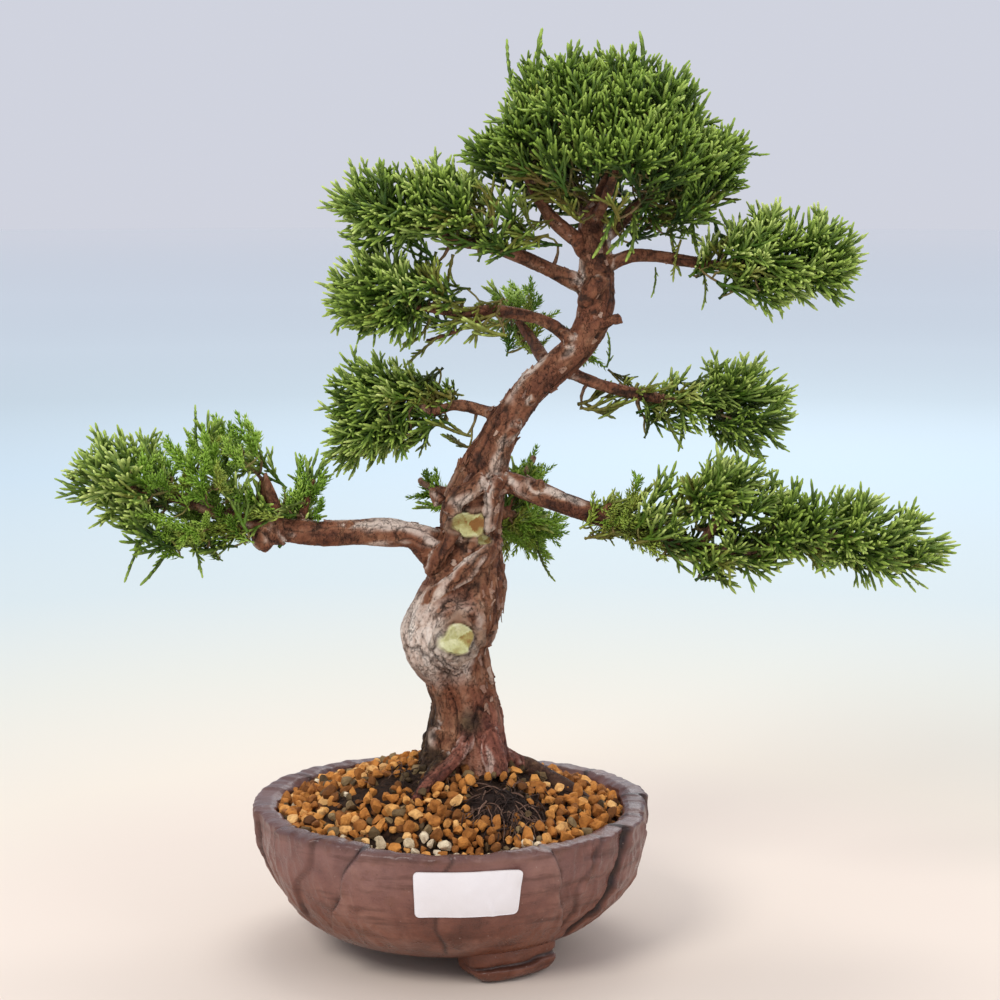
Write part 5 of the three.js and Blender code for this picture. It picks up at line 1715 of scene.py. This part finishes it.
leaf = leaf_material()
twig = twig_material()
for pad_name, pad in PADS.items():
    rng = np.random.default_rng(sum(map(ord, pad_name)) * 7)
    surface, facing = cad_surface("foliage_" + pad_name, rng, pad["count"])
    shift_x, shift_z = pad["move"]
    middle_z = surface[:, 2].mean()
    surface[:, 2] = middle_z + (surface[:, 2] - middle_z) * pad["flat"] + shift_z
    surface[:, 0] += shift_x
    surface -= facing * (0.8 + 3.5 * np.clip(1.6 * noise(surface, 20, 122), 0, 1)[:, None])
    for from_x, to_x, from_z, to_z, share in pad.get("thin", ()):
        there = ((surface[:, 0] > from_x) & (surface[:, 0] < to_x) & (surface[:, 2] > from_z)
                 & (surface[:, 2] < to_z))
        keep = ~there | (rng.random(len(surface)) < share)
        surface, facing = surface[keep], facing[keep]
    stem = np.vstack([path for on in pad["on"] for path in branch_paths[on]])[:, :3]
    gaps = np.linalg.norm(surface[:, None] - stem[None], axis=2)
    root = stem[gaps.argmin(1)]
    outward = unit(pad["outward"])
    root = root - outward * 13
    way = unit(unit(surface - root) * 0.75 + facing * 0.4 + outward * 0.25 + np.array([0, 0, pad["up"]])
               + rng.normal(0, 0.2, surface.shape))
    inward = (surface - surface.mean(0)) @ -outward
    inner_share = step(-0.1, 1.0, inward / max(np.abs(inward).max(), 1))
    dry_share = pad["dry"] * 2.2 * inner_share + 0.10 * (facing[:, 2] < -0.3)
    parched = (rng.random(len(surface)) < dry_share).astype(float)
    parched = parched * rng.uniform(0.55, 1.0, len(surface))
    if pad["needle"]:
        low, high = pad["needle"]
        middle = (surface[:, 0] > low) & (surface[:, 0] < high)
        juvenile = (middle & (rng.random(len(surface)) < 0.9)).astype(float)
    else:
        juvenile = np.zeros(len(surface))
    grow(pad_name, surface, facing, way, pad["on"], juvenile, parched, rng)

rng = np.random.default_rng(4242)
surface, facing = cad_surface("foliage_crown", rng, 660)
below = facing[:, 2] < -0.25
open_front = (surface[:, 2] < 292) & (surface[:, 1] < 14) & (surface[:, 0] > 20) & (surface[:, 0] < 80)
keep = np.where(open_front, rng.random(len(surface)) < 0.10, ~below | (rng.random(len(surface)) < 0.30))
right_shoulder = 5.0 * step(55, 90, surface[:, 0]) * step(295, 312, surface[:, 2])
surface[:, 2] -= 6.5 * step(292, 322, surface[:, 2]) + right_shoulder
surface[:, 0] -= 5.0 * step(80, 100, surface[:, 0])
surface -= facing * 8.0 * np.clip(1.6 * noise(surface, 26, 123), 0, 1)[:, None]
surface[:, 0] -= 3.0 * (1 - step(0, 24, surface[:, 0]))
surface, facing, below = surface[keep], facing[keep], below[keep]
way = unit(unit(surface - CROWN_HEART) * 0.8 + facing * 0.35 + [0, 0, 0.3]
           + rng.normal(0, 0.2, surface.shape))
parched = np.where(below, rng.random(len(surface)) < 0.55, rng.random(len(surface)) < 0.04).astype(float)
trunk_top = trunk_path[trunk_path[:, 2] > COLLAR + 205]
grow("crown", surface, facing, way, CROWN_BRANCHES, np.zeros(len(surface)), parched, rng,
     parts=4, stems=trunk_top, shade=0.3)

leader_heap = Heap()
rng = np.random.default_rng(77)
places = np.array([leader[0] for leader in LEADERS], float)
ways = unit(np.array([leader[1] for leader in LEADERS], float))
sizes = np.array([leader[2] for leader in LEADERS])
dryness = np.array([leader[3] for leader in LEADERS])
brightness = rng.uniform(0.15, 0.5, len(LEADERS))
for which, body, quads, tris, tip, size in instances(PATTERNS["leader"], rng, places, ways, sizes):
    each = np.repeat(which, size)
    leader_heap.add(body, quads, tris, tip=tip, tone=brightness[each], dry=dryness[each],
                    young=0.0, depth=0.0)
wear(leader_heap.piece("long_shoots", slot="foliage"), leaf)
